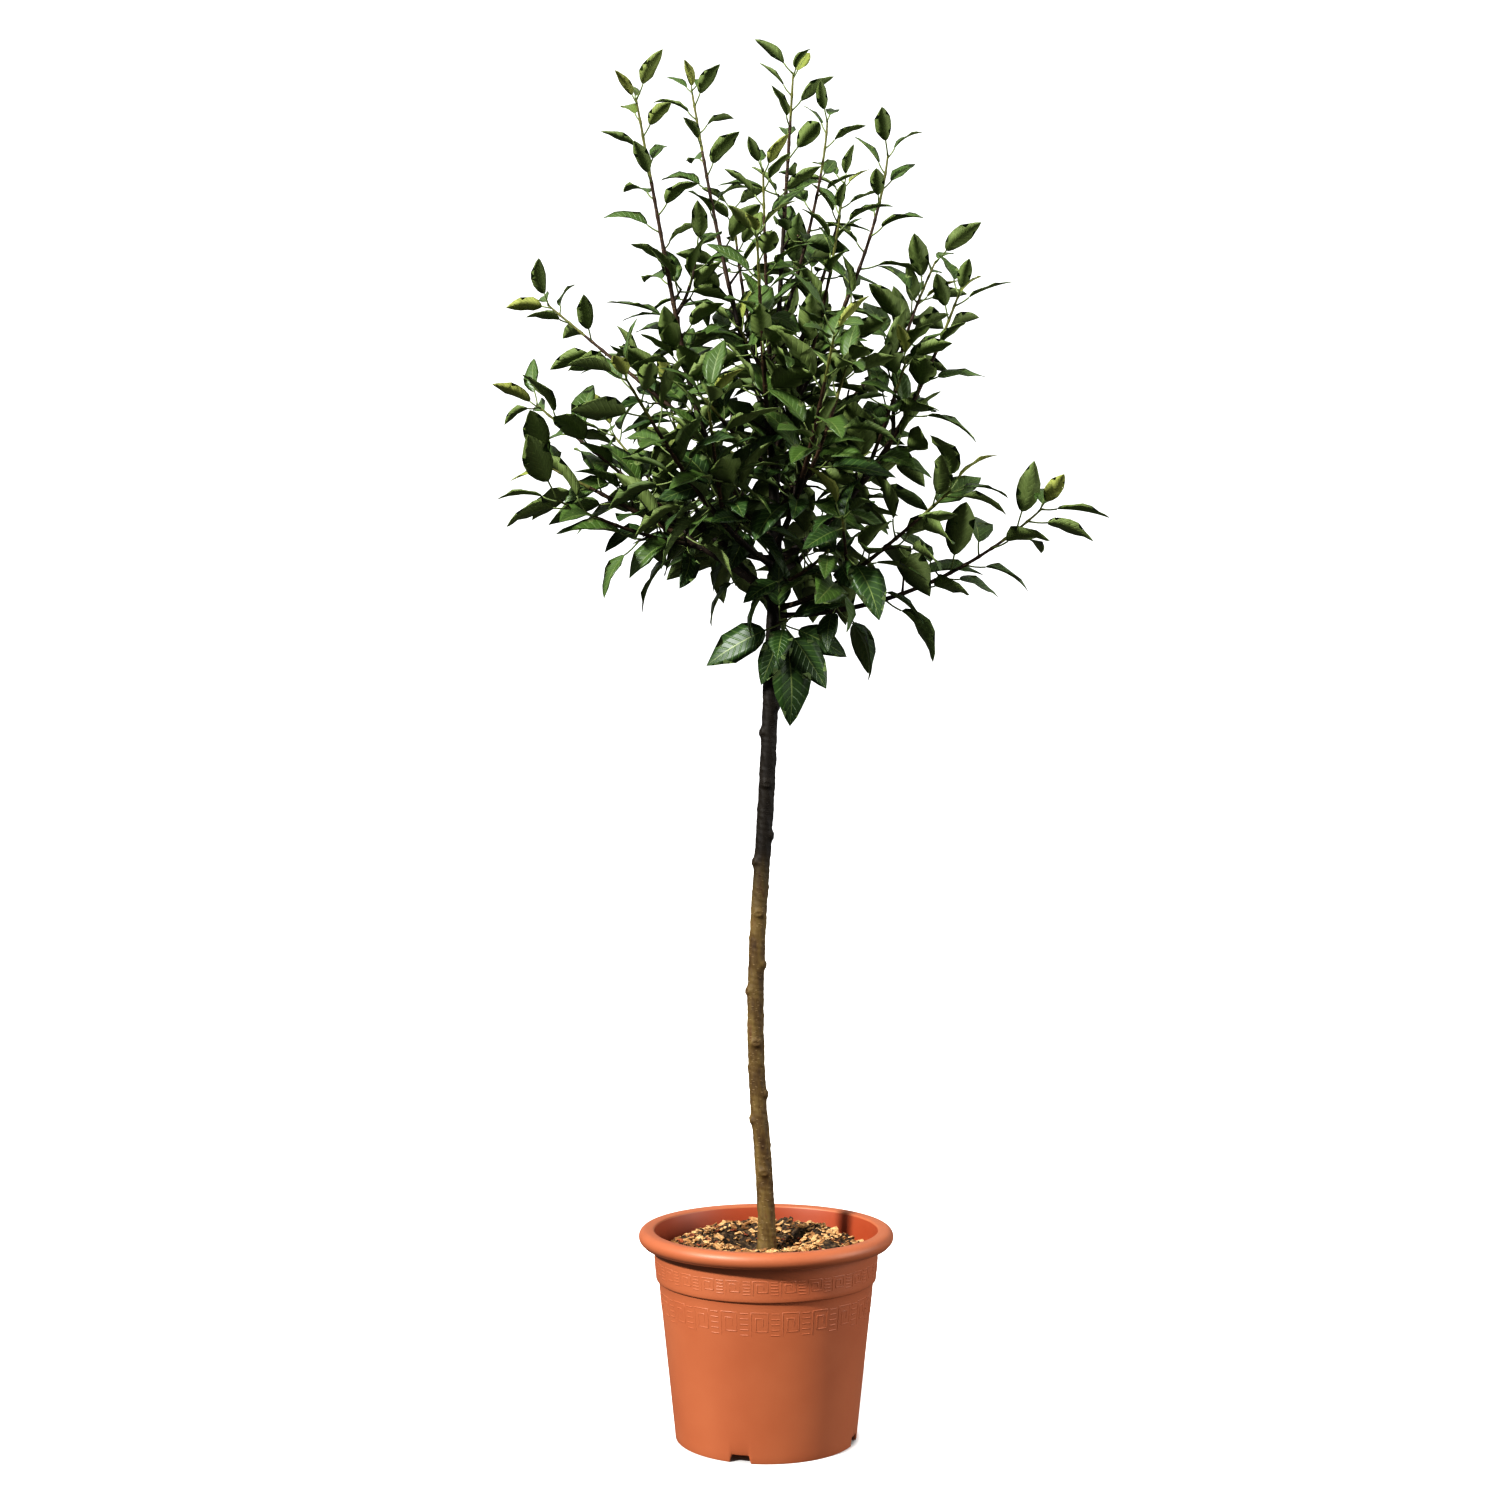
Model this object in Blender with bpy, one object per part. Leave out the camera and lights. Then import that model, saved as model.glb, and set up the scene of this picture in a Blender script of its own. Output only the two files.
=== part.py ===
"""A young half-standard apple tree in a moulded plastic pot, 1.64 m tall.

Metres, +Z up. The origin is at the middle of the pot's foot, on the surface it stands on.
+X is to the right and +Y is away from someone who stands in front of the tree. A heading is a
compass turn about Z: 0 is +X, 90 is +Y, 180 is -X and 270 is towards the front.
"""

import math

import bmesh
import bpy
import numpy as np
from mathutils import Vector
from mathutils.bvhtree import BVHTree

# Driving dimensions
RIM_DIAMETER = 0.300
POT_HEIGHT = 0.2462
FOOT_DIAMETER = 0.2136
WALL = 0.003
CLEAR = 0.0003

# Pot, down from the rim
RIM_RADIUS = RIM_DIAMETER / 2
FOOT_RADIUS = FOOT_DIAMETER / 2
MOUTH_RADIUS = 0.1318
MOUTH_HEIGHT = 0.2432
RIM_DROP = 0.0178
LIP_MIDDLE = (MOUTH_RADIUS + RIM_RADIUS) / 2
LIP_HALF = (0.0090, 0.0090)
LIP_HOLLOW_HALF = (0.0052, 0.0066)
LIP_HOLLOW_HEIGHT = 0.2367
COLLAR_TOP = (0.1334, 0.2347)
BAND_FOOT = 0.1888
BAND_STEP = 0.0032
BODY_TOP_RADIUS = 0.1266
INNER_LEDGE = (0.1262, 0.2015)
FLOOR_LIFT = 0.010
PAD_RADIUS = 0.058
PAD_SLOPE = 0.003
DRAINS = 4
DRAIN_RADIUS = 0.0055
DRAIN_CIRCLE = 0.083
NOTCHES = 4
NOTCH_WIDTH = 0.025
NOTCH_HEIGHT = 0.009
NOTCH_HEADING = 253.5
NOTCH_REACH = (FOOT_RADIUS - 0.012, FOOT_RADIUS + 0.008)
CUT_SPARE = 0.004
POT_SIDES = 32

# Soil, a low heap that leans to the back left
SOIL_LEVEL = 0.218
SOIL_TILT = 0.008
SOIL_HEAP = 0.013
SOIL_DIP = 0.004
SOIL_EDGE = 0.210
SOIL_SHOULDER = 0.198
SOIL_SHARES = (1.0, 0.8, 0.55, 0.30, 0.175)
SEAT_SHARE = 0.2
SOIL_SIDES = 28

# Trunk: height, sideways, radius. It bows to the left low down and leans right above.
TRUNK = (
    (0.214, 0.0005, 0.0135),
    (0.232, 0.0010, 0.0112),
    (0.260, 0.0004, 0.0103),
    (0.340, -0.0045, 0.0100),
    (0.400, -0.0095, 0.0099),
    (0.500, -0.0125, 0.0098),
    (0.600, -0.0095, 0.0095),
    (0.760, 0.0005, 0.0096),
    (0.900, 0.0062, 0.0090),
    (1.040, 0.0110, 0.0078),
    (1.160, 0.0085, 0.0052),
    (1.289, 0.0140, 0.0034),
)
TRUNK_RINGS = 24
TRUNK_RING_POWER = 1.15
TRUNK_SIDES = 8
CLEARING_TOP = 0.02
STUBS = 20
STUB_FIRST = 0.311
STUB_GAP = 0.0305
STUB_HEADING = 270.0
STUB_TURN = 144.0
STUB_RISE = 0.45
STUB_STANDS = 0.0032
STUB_RADII = (0.0060, 0.0030)
STUB_SIDES = 5

# Limbs: name, height on the trunk, heading, lean from upright at the foot and at the tip, how
# fast the lean eases, length, radius at the foot, share that is bare bough before its foliage
LIMBS = (
    ("left_low", 0.987, 182, 46, 63, 4.0, 0.310, 0.0050, 0.30),
    ("left_high", 1.092, 200, 88, 11, 7.0, 0.520, 0.0040, 0.17),
    ("left_rear", 1.035, 142, 84, 44, 2.5, 0.320, 0.0042, 0.26),
    ("right_high", 1.031, 350, 59, 21, 1.7, 0.385, 0.0045, 0.28),
    ("right_mid", 0.977, 330, 86, 54, 3.0, 0.262, 0.0036, 0.20),
    ("right_low", 0.969, 5, 90, 48, 1.1, 0.356, 0.0034, 0.14),
    ("front_left", 1.026, 234, 77, 48, 2.0, 0.332, 0.0040, 0.22),
    ("front_right", 1.052, 284, 76, 40, 2.0, 0.320, 0.0040, 0.20),
    ("front_mid", 1.128, 264, 62, 28, 2.0, 0.310, 0.0034, 0.18),
    ("rear_left", 0.996, 114, 74, 45, 2.0, 0.352, 0.0040, 0.22),
    ("rear_right", 1.020, 70, 82, 50, 2.0, 0.345, 0.0042, 0.22),
    ("rear_mid", 1.095, 86, 62, 28, 2.0, 0.350, 0.0036, 0.18),
    ("top_left", 1.176, 150, 22, 11, 2.0, 0.450, 0.0034, 0.0),
    ("top_right", 1.224, 40, 30, 8, 0.6, 0.302, 0.0028, 0.0),
    ("side_right", 1.179, 335, 37, 4, 0.6, 0.350, 0.0030, 0.0),
    ("top_front", 1.196, 262, 36, 10, 1.6, 0.290, 0.0028, 0.0),
    ("side_front", 1.160, 306, 44, 16, 1.6, 0.285, 0.0028, 0.0),
    ("top_rear", 1.212, 118, 38, 12, 1.6, 0.290, 0.0028, 0.0),
    ("side_rear", 1.150, 22, 60, 32, 1.6, 0.290, 0.0028, 0.0),
    ("crown_tip", 1.289, 120, -2, -7, 8.0, 0.312, 0.0030, 0.0),
)

# Forks: limb, share of its length, heading, lean at the foot and the tip, ease, length
FORKS = (
    ("left_low", 0.36, 204, 88, 70, 1.8, 0.180),
    ("left_low", 0.38, 165, 31, 51, 8.0, 0.262),
    ("left_high", 0.25, 160, 53, 50, 8.0, 0.262),
    ("left_high", 0.52, 25, 38, 10, 2.0, 0.085),
    ("left_rear", 0.36, 120, 40, 22, 2.0, 0.200),
    ("right_high", 0.53, 30, -5, 27, 1.8, 0.224),
    ("right_high", 0.36, 318, 30, 24, 2.0, 0.150),
    ("right_mid", 0.40, 262, 60, 48, 2.0, 0.095),
    ("front_left", 0.32, 262, 60, 40, 2.0, 0.170),
    ("front_right", 0.34, 308, 48, 26, 2.0, 0.155),
    ("rear_left", 0.36, 84, 52, 30, 2.0, 0.180),
    ("rear_right", 0.36, 44, 46, 24, 2.0, 0.140),
    ("rear_mid", 0.40, 60, 40, 18, 2.0, 0.150),
    ("crown_tip", 0.03, 340, 20, -2, 0.4, 0.258),
)

# Stems: how they taper, and the radii of the smaller ones
TAPER_POWER = 0.85
PATH_STEP = 0.004
FORK_SHARE = 0.85
FORK_RADIUS = 0.0026
HEART_RADII = (0.0024, 0.0016)
SKIRT_RADII = (0.0026, 0.0020)
STEM_TIP_RADIUS = 0.0011
SPUR_RADIUS = 0.0014

# Short shoots that fill the heart of the crown: name, height, heading, lean, length
HEART_SHOOTS = (
    ("heart_low", 1.004, 309, 84, 0.095),
    ("heart_left", 1.070, 214, 62, 0.100),
    ("heart_front", 1.088, 300, 64, 0.095),
    ("heart_rear", 1.062, 128, 66, 0.105),
    ("heart_right", 1.108, 8, 62, 0.100),
    ("heart_high", 1.140, 212, 60, 0.115),
    ("heart_deep", 1.240, 222, 52, 0.080),
)

# The lowest spur, at the front, with its fan of long leaves, most of them hanging: heading,
# lean, blade
SKIRT_HEIGHT = 0.956
SKIRT_HEADING = 300
SKIRT_LEAN = 82
SKIRT_LENGTH = 0.032
SKIRT_FAN = (
    (186, 114, 0.072),
    (228, 148, 0.062),
    (262, 122, 0.066),
    (306, 160, 0.092),
    (326, 140, 0.068),
    (352, 112, 0.066),
    (250, 10, 0.054),
    (340, 64, 0.062),
)
SKIRT_FACE = np.array([0.0, -0.8, 0.6])
SKIRT_ROLL = 40
SKIRT_DROOP = (22, 20)
SKIRT_FOLD = 16

# Shoots: bud spacing, the turn from bud to bud, and how leaves sit
SEED = 20
BUD_GAP_LOW = 0.0245
BUD_GAP_TIP = 0.0165
BUD_TURN = 144.0
FIRST_BUD = 0.014
LAST_BUD = 0.010
SPUR_SHARE = 0.52
SPUR_LENGTHS = (0.012, 0.030)
SPUR_LEAVES = 3
SPUR_RISE = 0.55
SPUR_SPREAD = (52, 24)
SPUR_YOUNG = 0.12
YOUNG_FROM = 0.62
SINGLE_SPREAD = (58, -20)
SINGLE_YOUNG = 0.3
TIP_LEAVES = 3
TIP_TURN = (75, 120)
TIP_SPREAD = (42, -6)
TIP_YOUNG = (0.25, 0.15)
LEAF_ROOM = 0.0142
LIMB_ROOM = 0.0070
LEAF_TRIES = 4
TRY_TURN = 26.0
ROOT_BACK = 0.0011
ROOT_STEP = 0.0027
TWIG_SIDES = 3
STEM_SIDES = 4
STEM_RING_GAP = 0.042
BOUGH_RING_GAP = 0.017
BOUGH_SIDES = 6

# Leaves. A pair is the least value and what a draw adds to it.
BLADE_HIGH = 0.051
BLADE_LOW = 0.076
SIZE_TOP = 1.46
SIZE_SPAN = 0.46
YOUNG_SHRINK = 0.50
HANG_TOP = 1.14
HANG_SPAN = 0.14
HANG_REACH = 0.20
HANG_PULL = 1.3
LOWEST_WAY = (0.10, 1.6)
SIZE_DRAW = (0.82, 0.32)
STALK_DRAW = (0.8, 0.4)
LEAN_DRAW = 16
DROOP_DRAW = (18, 34)
DROOP_HANG = 14
FOLD_DRAW = (22, 18)
OUTWARD = 0.35
ROLL = 44.0
BLADE_WIDTH = 0.51
WIDEST = 0.40
STALK = 0.34
ROOT_SUNK = 0.0002
STALK_SHARE = 0.45
LEAF_THICK = 0.014
TEST_SWELL = 0.0008
SOLID_ROUNDS = 5
MERGE = 0.0000015


def unit(vector):
    return vector / np.linalg.norm(vector)


def turned(vector, axis, degrees):
    """The vector turned about a unit axis."""
    angle = math.radians(degrees)
    return (
        vector * math.cos(angle)
        + np.cross(axis, vector) * math.sin(angle)
        + axis * (axis @ vector) * (1 - math.cos(angle))
    )


def trunk_at(height):
    """Centre and radius of the trunk at a height."""
    heights, sideways, radii = np.array(TRUNK).T
    centre = np.array([smooth(height, heights, sideways), 0.0, height])
    return centre, float(np.interp(height, heights, radii))


def smooth(place, places, values):
    """A value between stations, by a cubic through the four nearest ones."""
    k = int(np.clip(np.searchsorted(places, place) - 1, 0, len(places) - 2))
    low, high = max(k - 1, 0), min(k + 2, len(places) - 1)
    span = places[k + 1] - places[k]
    t = (place - places[k]) / span
    slope_a = (values[k + 1] - values[low]) / (places[k + 1] - places[low]) * span
    slope_b = (values[high] - values[k]) / (places[high] - places[k]) * span
    a, b = values[k], values[k + 1]
    return (
        a * (1 + 2 * t) * (1 - t) ** 2
        + slope_a * t * (1 - t) ** 2
        + b * t * t * (3 - 2 * t)
        + slope_b * t * t * (t - 1)
    )


def limb_path(start, heading, lean_foot, lean_tip, ease, length):
    """Points close together along a limb whose lean eases from its foot to its tip."""
    steps = max(4, round(length / PATH_STEP))
    share = (np.arange(steps) + 0.5) / steps
    lean = np.radians(lean_tip + (lean_foot - lean_tip) * (1 - share) ** ease)
    turn = math.radians(heading)
    way = np.stack(
        [np.sin(lean) * math.cos(turn), np.sin(lean) * math.sin(turn), np.cos(lean)], 1
    )
    return np.vstack([start, start + np.cumsum(way, 0) * length / steps])


class Stem:
    """A tapering woody axis: its points, its length and its radius along them."""

    def __init__(self, points, radius, tip_radius=STEM_TIP_RADIUS):
        self.points = np.asarray(points, float)
        gaps = np.linalg.norm(np.diff(self.points, axis=0), axis=1)
        self.along = np.r_[0, np.cumsum(gaps)]
        self.length = self.along[-1]
        self.radii = tip_radius + (radius - tip_radius) * (1 - self.along / self.length) ** TAPER_POWER

    def at(self, distance):
        """Point, direction and radius at a distance from the foot."""
        point = np.array([np.interp(distance, self.along, c) for c in self.points.T])
        k = int(np.clip(np.searchsorted(self.along, distance), 1, len(self.points) - 1))
        way = unit(self.points[k] - self.points[k - 1])
        return point, way, float(np.interp(distance, self.along, self.radii))

    def part(self, first, last):
        """The stem between two distances, with its own radii kept."""
        inside = (self.along > first + 1e-4) & (self.along < last - 1e-4)
        ends = [self.at(first), self.at(last)]
        piece = Stem(np.vstack([ends[0][0], self.points[inside], ends[1][0]]), 1, 1)
        piece.radii = np.r_[ends[0][2], self.radii[inside], ends[1][2]]
        return piece


class Leaf:
    """A stalked leaf: where it springs, the way it points, its upper side and its sizes."""

    def __init__(self, root, way, up, blade, stalk, droop, fold):
        self.root, self.way, self.blade, self.stalk = root, unit(way), blade, stalk
        self.up = unit(up - self.way * (up @ self.way))
        self.droop, self.fold = math.radians(droop), math.radians(fold)

    def spine(self, share):
        """Point, direction and upper side on the midrib, with the blade bent over by its droop."""
        side = np.cross(self.way, self.up)
        base = self.root + self.way * self.stalk
        bend = self.droop * share
        way = self.way * math.cos(bend) - self.up * math.sin(bend)
        radius = self.blade / self.droop
        chord = radius * (self.way * math.sin(bend) - self.up * (1 - math.cos(bend)))
        return base + chord, way, np.cross(side, way)

    def edge(self, share, half_width, hand):
        """A point of the blade's margin, raised by the fold along the midrib."""
        point, way, up = self.spine(share)
        out = np.cross(way, up) * hand
        return point + half_width * (out * math.cos(self.fold) + up * math.sin(self.fold))

    def feelers(self):
        """The points that keep leaves apart: five on the midrib and four on the margins."""
        wide = 0.36 * BLADE_WIDTH * self.blade
        on_rib = [self.spine(share)[0] for share in (0.08, 0.3, 0.52, 0.76, 1.0)]
        on_edge = [self.edge(share, wide, hand) for share in (0.36, 0.66) for hand in (-1, 1)]
        return np.array(on_rib + on_edge)


class Crowd:
    """Points that are already taken, so that a leaf can keep its distance from them."""

    def __init__(self):
        self.points = np.empty((0, 3))

    def add(self, points):
        self.points = np.vstack([self.points, points])

    def free(self, points, room):
        if not len(self.points):
            return True
        gaps = np.linalg.norm(self.points[None] - points[:, None], axis=2)
        return gaps.min() > room


class Mass:
    """One shoot system: its stems, its twigs and its leaves."""

    def __init__(self, name, stem):
        self.name, self.stem = name, stem
        self.branches, self.spurs, self.leaves = [], [], []


def blade_length(height, young):
    """Leaves are largest low in the crown and smallest at a shoot's tip."""
    low = np.clip((SIZE_TOP - height) / SIZE_SPAN, 0, 1)
    return (BLADE_HIGH + (BLADE_LOW - BLADE_HIGH) * low) * (1 - YOUNG_SHRINK * young)


def hang(root):
    """How far a leaf hangs: 1 by the trunk at the crown's foot, 0 high up or far out."""
    low = np.clip((HANG_TOP - root[2]) / HANG_SPAN, 0, 1)
    return float(low * np.clip(1 - math.hypot(root[0], root[1]) / HANG_REACH, 0, 1))


def set_leaf(mass, crowd, limbs, root, axis, side, spread, young, draws):
    """Sets one leaf, turning it about its stem until it has room, or leaves it out."""
    size = blade_length(root[2], young) * (SIZE_DRAW[0] + SIZE_DRAW[1] * draws[0])
    stalk = STALK * size * (STALK_DRAW[0] + STALK_DRAW[1] * draws[1])
    lean = math.radians(spread + LEAN_DRAW * (draws[2] - 0.5))
    fall = hang(root)
    droop = DROOP_DRAW[0] + DROOP_DRAW[1] * draws[3] + DROOP_HANG * fall
    fold = FOLD_DRAW[0] + FOLD_DRAW[1] * draws[5]
    for attempt in range(LEAF_TRIES):
        out = turned(side, axis, attempt * TRY_TURN * (-1) ** attempt)
        way = axis * math.cos(lean) + out * math.sin(lean)
        way = way - np.array([0, 0, HANG_PULL * fall])
        way[2] = max(way[2], -LOWEST_WAY[0] - LOWEST_WAY[1] * fall)
        way = unit(way)
        up = np.array([0, 0, 1.0]) - OUTWARD * out * (1 - fall)
        up = turned(unit(up - way * (up @ way)), way, 2 * ROLL * (draws[4] - 0.5))
        leaf = Leaf(root, way, up, size, stalk, droop, fold)
        if keep_leaf(mass, crowd, limbs, leaf):
            return


def keep_leaf(mass, crowd, limbs, leaf):
    """Adds a leaf to its mass if nothing stands in its way."""
    points = leaf.feelers()
    if not (crowd.free(points, LEAF_ROOM) and limbs.free(points, LIMB_ROOM)):
        return False
    crowd.add(points)
    mass.leaves.append(leaf)
    return True


def set_skirt(mass, crowd, limbs, rng):
    """The lowest spur's leaves, each a hanging one on its own heading."""
    for k, (heading, lean, size) in enumerate(SKIRT_FAN):
        draws = rng.random(2)
        turn, down = math.radians(heading), math.radians(lean)
        flat = np.array([math.cos(turn), math.sin(turn), 0])
        way = flat * math.sin(down) + np.array([0, 0, math.cos(down)])
        tip, axis, _ = mass.stem.at(mass.stem.length)
        root = tip - axis * (ROOT_BACK + k * ROOT_STEP)
        up = turned(SKIRT_FACE - way * (SKIRT_FACE @ way), way, SKIRT_ROLL * (draws[0] - 0.5))
        droop = SKIRT_DROOP[0] + SKIRT_DROOP[1] * draws[1]
        keep_leaf(mass, crowd, limbs, Leaf(root, way, up, size, STALK * size, droop, SKIRT_FOLD))


def set_spur(mass, crowd, limbs, root, axis, side, draws, rng):
    """A short twig with a whorl of leaves at its end, as apple bears on last year's wood."""
    length = SPUR_LENGTHS[0] + (SPUR_LENGTHS[1] - SPUR_LENGTHS[0]) * draws[0]
    bent = unit(0.5 * axis + side + np.array([0, 0, SPUR_RISE]))
    points = np.array([root, root + bent * length])
    fresh = rng.random((SPUR_LEAVES, 6))
    if not limbs.free(points[1:], LIMB_ROOM):
        return
    mass.spurs.append(Stem(points, SPUR_RADIUS, SPUR_RADIUS * 0.9))
    start = np.cross(bent, unit(np.array([0.3, 0.2, 1.0])))
    for i in range(SPUR_LEAVES):
        out = turned(unit(start), bent, i * BUD_TURN + 40 * draws[1])
        bud = points[-1] - bent * (ROOT_BACK + i * ROOT_STEP)
        spread = SPUR_SPREAD[0] + SPUR_SPREAD[1] * (i % 2)
        set_leaf(mass, crowd, limbs, bud, bent, out, spread, SPUR_YOUNG, fresh[i])


def clothe(mass, stem, bare, crowd, limbs, rng):
    """Sets buds along a stem: spurs on its older part, single leaves above, and a tuft at its tip."""
    start = unit(np.cross(stem.at(stem.length / 2)[1], np.array([0.2, 0.1, 1.0])))
    roll = 360 * rng.random()
    at, bud = bare + FIRST_BUD, 0
    while at < stem.length - LAST_BUD:
        share = at / stem.length
        draws = rng.random(6)
        root, axis, _ = stem.at(at)
        side = turned(start, axis, roll + bud * BUD_TURN)
        side = unit(side - axis * (side @ axis))
        if share < SPUR_SHARE and bud % 2 == 0:
            set_spur(mass, crowd, limbs, root, axis, side, draws, rng)
        else:
            young = max(0.0, (share - YOUNG_FROM) / (1 - YOUNG_FROM))
            spread = SINGLE_SPREAD[0] + SINGLE_SPREAD[1] * young
            set_leaf(mass, crowd, limbs, root, axis, side, spread, SINGLE_YOUNG * young, draws)
        at += BUD_GAP_LOW + (BUD_GAP_TIP - BUD_GAP_LOW) * share
        bud += 1
    root, axis, _ = stem.at(stem.length)
    for i in range(TIP_LEAVES):
        side = turned(start, axis, roll + TIP_TURN[0] + i * TIP_TURN[1])
        side = unit(side - axis * (side @ axis))
        bud_point = root - axis * (ROOT_BACK + i * ROOT_STEP)
        spread, young = (low + i * step for low, step in (TIP_SPREAD, TIP_YOUNG))
        set_leaf(mass, crowd, limbs, bud_point, axis, side, spread, young, rng.random(6))


def grow_tree():
    """The whole tree by its rule: boughs, and masses with their stems, twigs and leaves."""
    boughs, masses, stems = {}, [], {}
    for name, height, heading, lean_foot, lean_tip, ease, length, radius, bare in LIMBS:
        centre, _ = trunk_at(height)
        stems[name] = Stem(limb_path(centre, heading, lean_foot, lean_tip, ease, length), radius)
        if bare:
            boughs[name] = stems[name].part(0, bare * length)
        masses.append(Mass(name, stems[name].part(bare * length, length)))
    for name, height, heading, lean, length in HEART_SHOOTS:
        centre, radius = trunk_at(height)
        path = limb_path(centre, heading, lean, lean * 0.7, 1.0, length + radius)
        masses.append(Mass(name, Stem(path, *HEART_RADII)))
    centre, _ = trunk_at(SKIRT_HEIGHT)
    path = limb_path(centre, SKIRT_HEADING, SKIRT_LEAN, SKIRT_LEAN, 1.0, SKIRT_LENGTH)
    skirt = Mass("skirt", Stem(path, *SKIRT_RADII))
    by_name = {mass.name: mass for mass in masses}
    for name, share, heading, lean_foot, lean_tip, ease, length in FORKS:
        limb = stems[name]
        root, _, radius = limb.at(share * limb.length)
        path = limb_path(root, heading, lean_foot, lean_tip, ease, length)
        by_name[name].branches.append(Stem(path, min(radius * FORK_SHARE, FORK_RADIUS)))

    limbs = Crowd()
    heights = np.arange(TRUNK[0][0], TRUNK[-1][0], 0.005)
    limbs.add(np.array([trunk_at(height)[0] for height in heights]))
    crowd = Crowd()
    set_skirt(skirt, crowd, limbs, np.random.default_rng(SEED))
    for index, mass in enumerate(masses):
        rng = np.random.default_rng([SEED, index])
        first = trunk_at(mass.stem.points[0][2])[1] if mass.name not in boughs else 0.0
        clothe(mass, mass.stem, first, crowd, limbs, rng)
        for branch in mass.branches:
            clothe(mass, branch, 0.0, crowd, limbs, rng)
    return boughs, [skirt] + masses


def ring_frames(ways):
    """Two cross directions at each point of a path, carried along it without twist."""
    first = np.array([0.0, 1.0, 0.0])
    if abs(first @ ways[0]) > 0.9:
        first = np.array([1.0, 0.0, 0.0])
    frames = []
    for way in ways:
        first = unit(first - way * (first @ way))
        frames.append((first, np.cross(way, first)))
    return frames


def tube(points, ways, radii, sides):
    """Vertices and faces of a closed round bar along a path, its rings square to its ways."""
    verts, faces = [], []
    for point, radius, (a, b) in zip(points, radii, ring_frames(ways)):
        for k in range(sides):
            angle = 2 * math.pi * k / sides
            verts.append(point + radius * (a * math.cos(angle) + b * math.sin(angle)))
    rings = len(points)
    for ring in range(rings - 1):
        for k in range(sides):
            low, next_low = ring * sides + k, ring * sides + (k + 1) % sides
            faces.append((low, next_low, next_low + sides, low + sides))
    faces.append(tuple(reversed(range(sides))))
    faces.append(tuple(range((rings - 1) * sides, rings * sides)))
    return verts, faces


def bar(stem, gap, sides, swell=0.0):
    """A stem as a closed bar with a ring at about each gap, swollen where room is tested."""
    count = max(2, round(stem.length / gap) + 1)
    places = [stem.at(place) for place in np.linspace(0, stem.length, count)]
    points, ways, radii = (np.array(column) for column in zip(*places))
    return tube(points, ways, radii + swell, sides)


def leaf_solid(leaf, swell=0.0, first=0.0):
    """Eight faces: two thin roofs that share their rim, from a root inside the twig to the tip.

    With first above nothing the leaf begins that far out on its stalk, where its root is left out.
    """
    wide = BLADE_WIDTH * leaf.blade / 2 + swell
    thick = LEAF_THICK * leaf.blade / 2 + swell
    middle, _, up = leaf.spine(WIDEST)
    tip, way, _ = leaf.spine(1.0)
    verts = [
        leaf.root + leaf.way * (leaf.stalk * first if first else -ROOT_SUNK),
        leaf.edge(WIDEST, wide, 1),
        tip + way * swell,
        leaf.edge(WIDEST, wide, -1),
        middle + up * thick,
        middle - up * thick,
    ]
    faces = []
    for k in range(4):
        faces.append((k, (k + 1) % 4, 4))
        faces.append(((k + 1) % 4, k, 5))
    return verts, faces


def finish(name, colour, roughness):
    """A material with one colour, given as linear red, green and blue."""
    material = bpy.data.materials.new(name)
    material.use_nodes = True
    shader = material.node_tree.nodes["Principled BSDF"]
    shader.inputs["Base Color"].default_value = (*colour, 1.0)
    shader.inputs["Roughness"].default_value = roughness
    shader.inputs["Metallic"].default_value = 0.0
    return material


def body(name, verts, faces, material, smooth_angle=None):
    """An object from vertices and faces, with its faces turned outwards."""
    mesh = bpy.data.meshes.new(name)
    mesh.from_pydata([tuple(v) for v in verts], [], faces)
    work = bmesh.new()
    work.from_mesh(mesh)
    bmesh.ops.recalc_face_normals(work, faces=work.faces)
    work.to_mesh(mesh)
    work.free()
    mesh.materials.append(material)
    if smooth_angle:
        mesh.shade_smooth()
        mesh.set_sharp_from_angle(angle=math.radians(smooth_angle))
    made = bpy.data.objects.new(name, mesh)
    bpy.context.scene.collection.objects.link(made)
    return made


def settle(made):
    """Applies an object's modifiers."""
    graph = bpy.context.evaluated_depsgraph_get()
    mesh = bpy.data.meshes.new_from_object(made.evaluated_get(graph))
    made.modifiers.clear()
    made.data = mesh


def fuse(main, pieces, solver="EXACT"):
    """Joins pieces to a solid by one union on their collection, then drops the pieces."""
    if not pieces:
        return
    group = bpy.data.collections.new(main.name + "_pieces")
    bpy.context.scene.collection.children.link(group)
    for piece in pieces:
        bpy.context.scene.collection.objects.unlink(piece)
        group.objects.link(piece)
    join = main.modifiers.new("join", "BOOLEAN")
    join.operation = "UNION"
    join.operand_type = "COLLECTION"
    join.collection = group
    join.solver = solver
    settle(main)
    for piece in pieces:
        bpy.data.objects.remove(piece)
    bpy.data.collections.remove(group)


def cut(main, cutter, solver="EXACT"):
    """Takes a cutter's shape out of a solid."""
    bite = main.modifiers.new("cut", "BOOLEAN")
    bite.operation = "DIFFERENCE"
    bite.object = cutter
    bite.solver = solver
    settle(main)


def drop_scraps(made):
    """Makes points that all but meet one, and keeps only the largest piece joined by edges."""
    work = bmesh.new()
    work.from_mesh(made.data)
    bmesh.ops.remove_doubles(work, verts=work.verts, dist=MERGE)
    left = set(work.faces)
    islands = []
    while left:
        front = [left.pop()]
        island = list(front)
        while front:
            for edge in front.pop().edges:
                for face in edge.link_faces:
                    if face in left:
                        left.remove(face)
                        island.append(face)
                        front.append(face)
        islands.append(island)
    islands.sort(key=len)
    scraps = [face for island in islands[:-1] for face in island]
    bmesh.ops.delete(work, geom=scraps, context="FACES")
    work.to_mesh(made.data)
    work.free()


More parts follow.
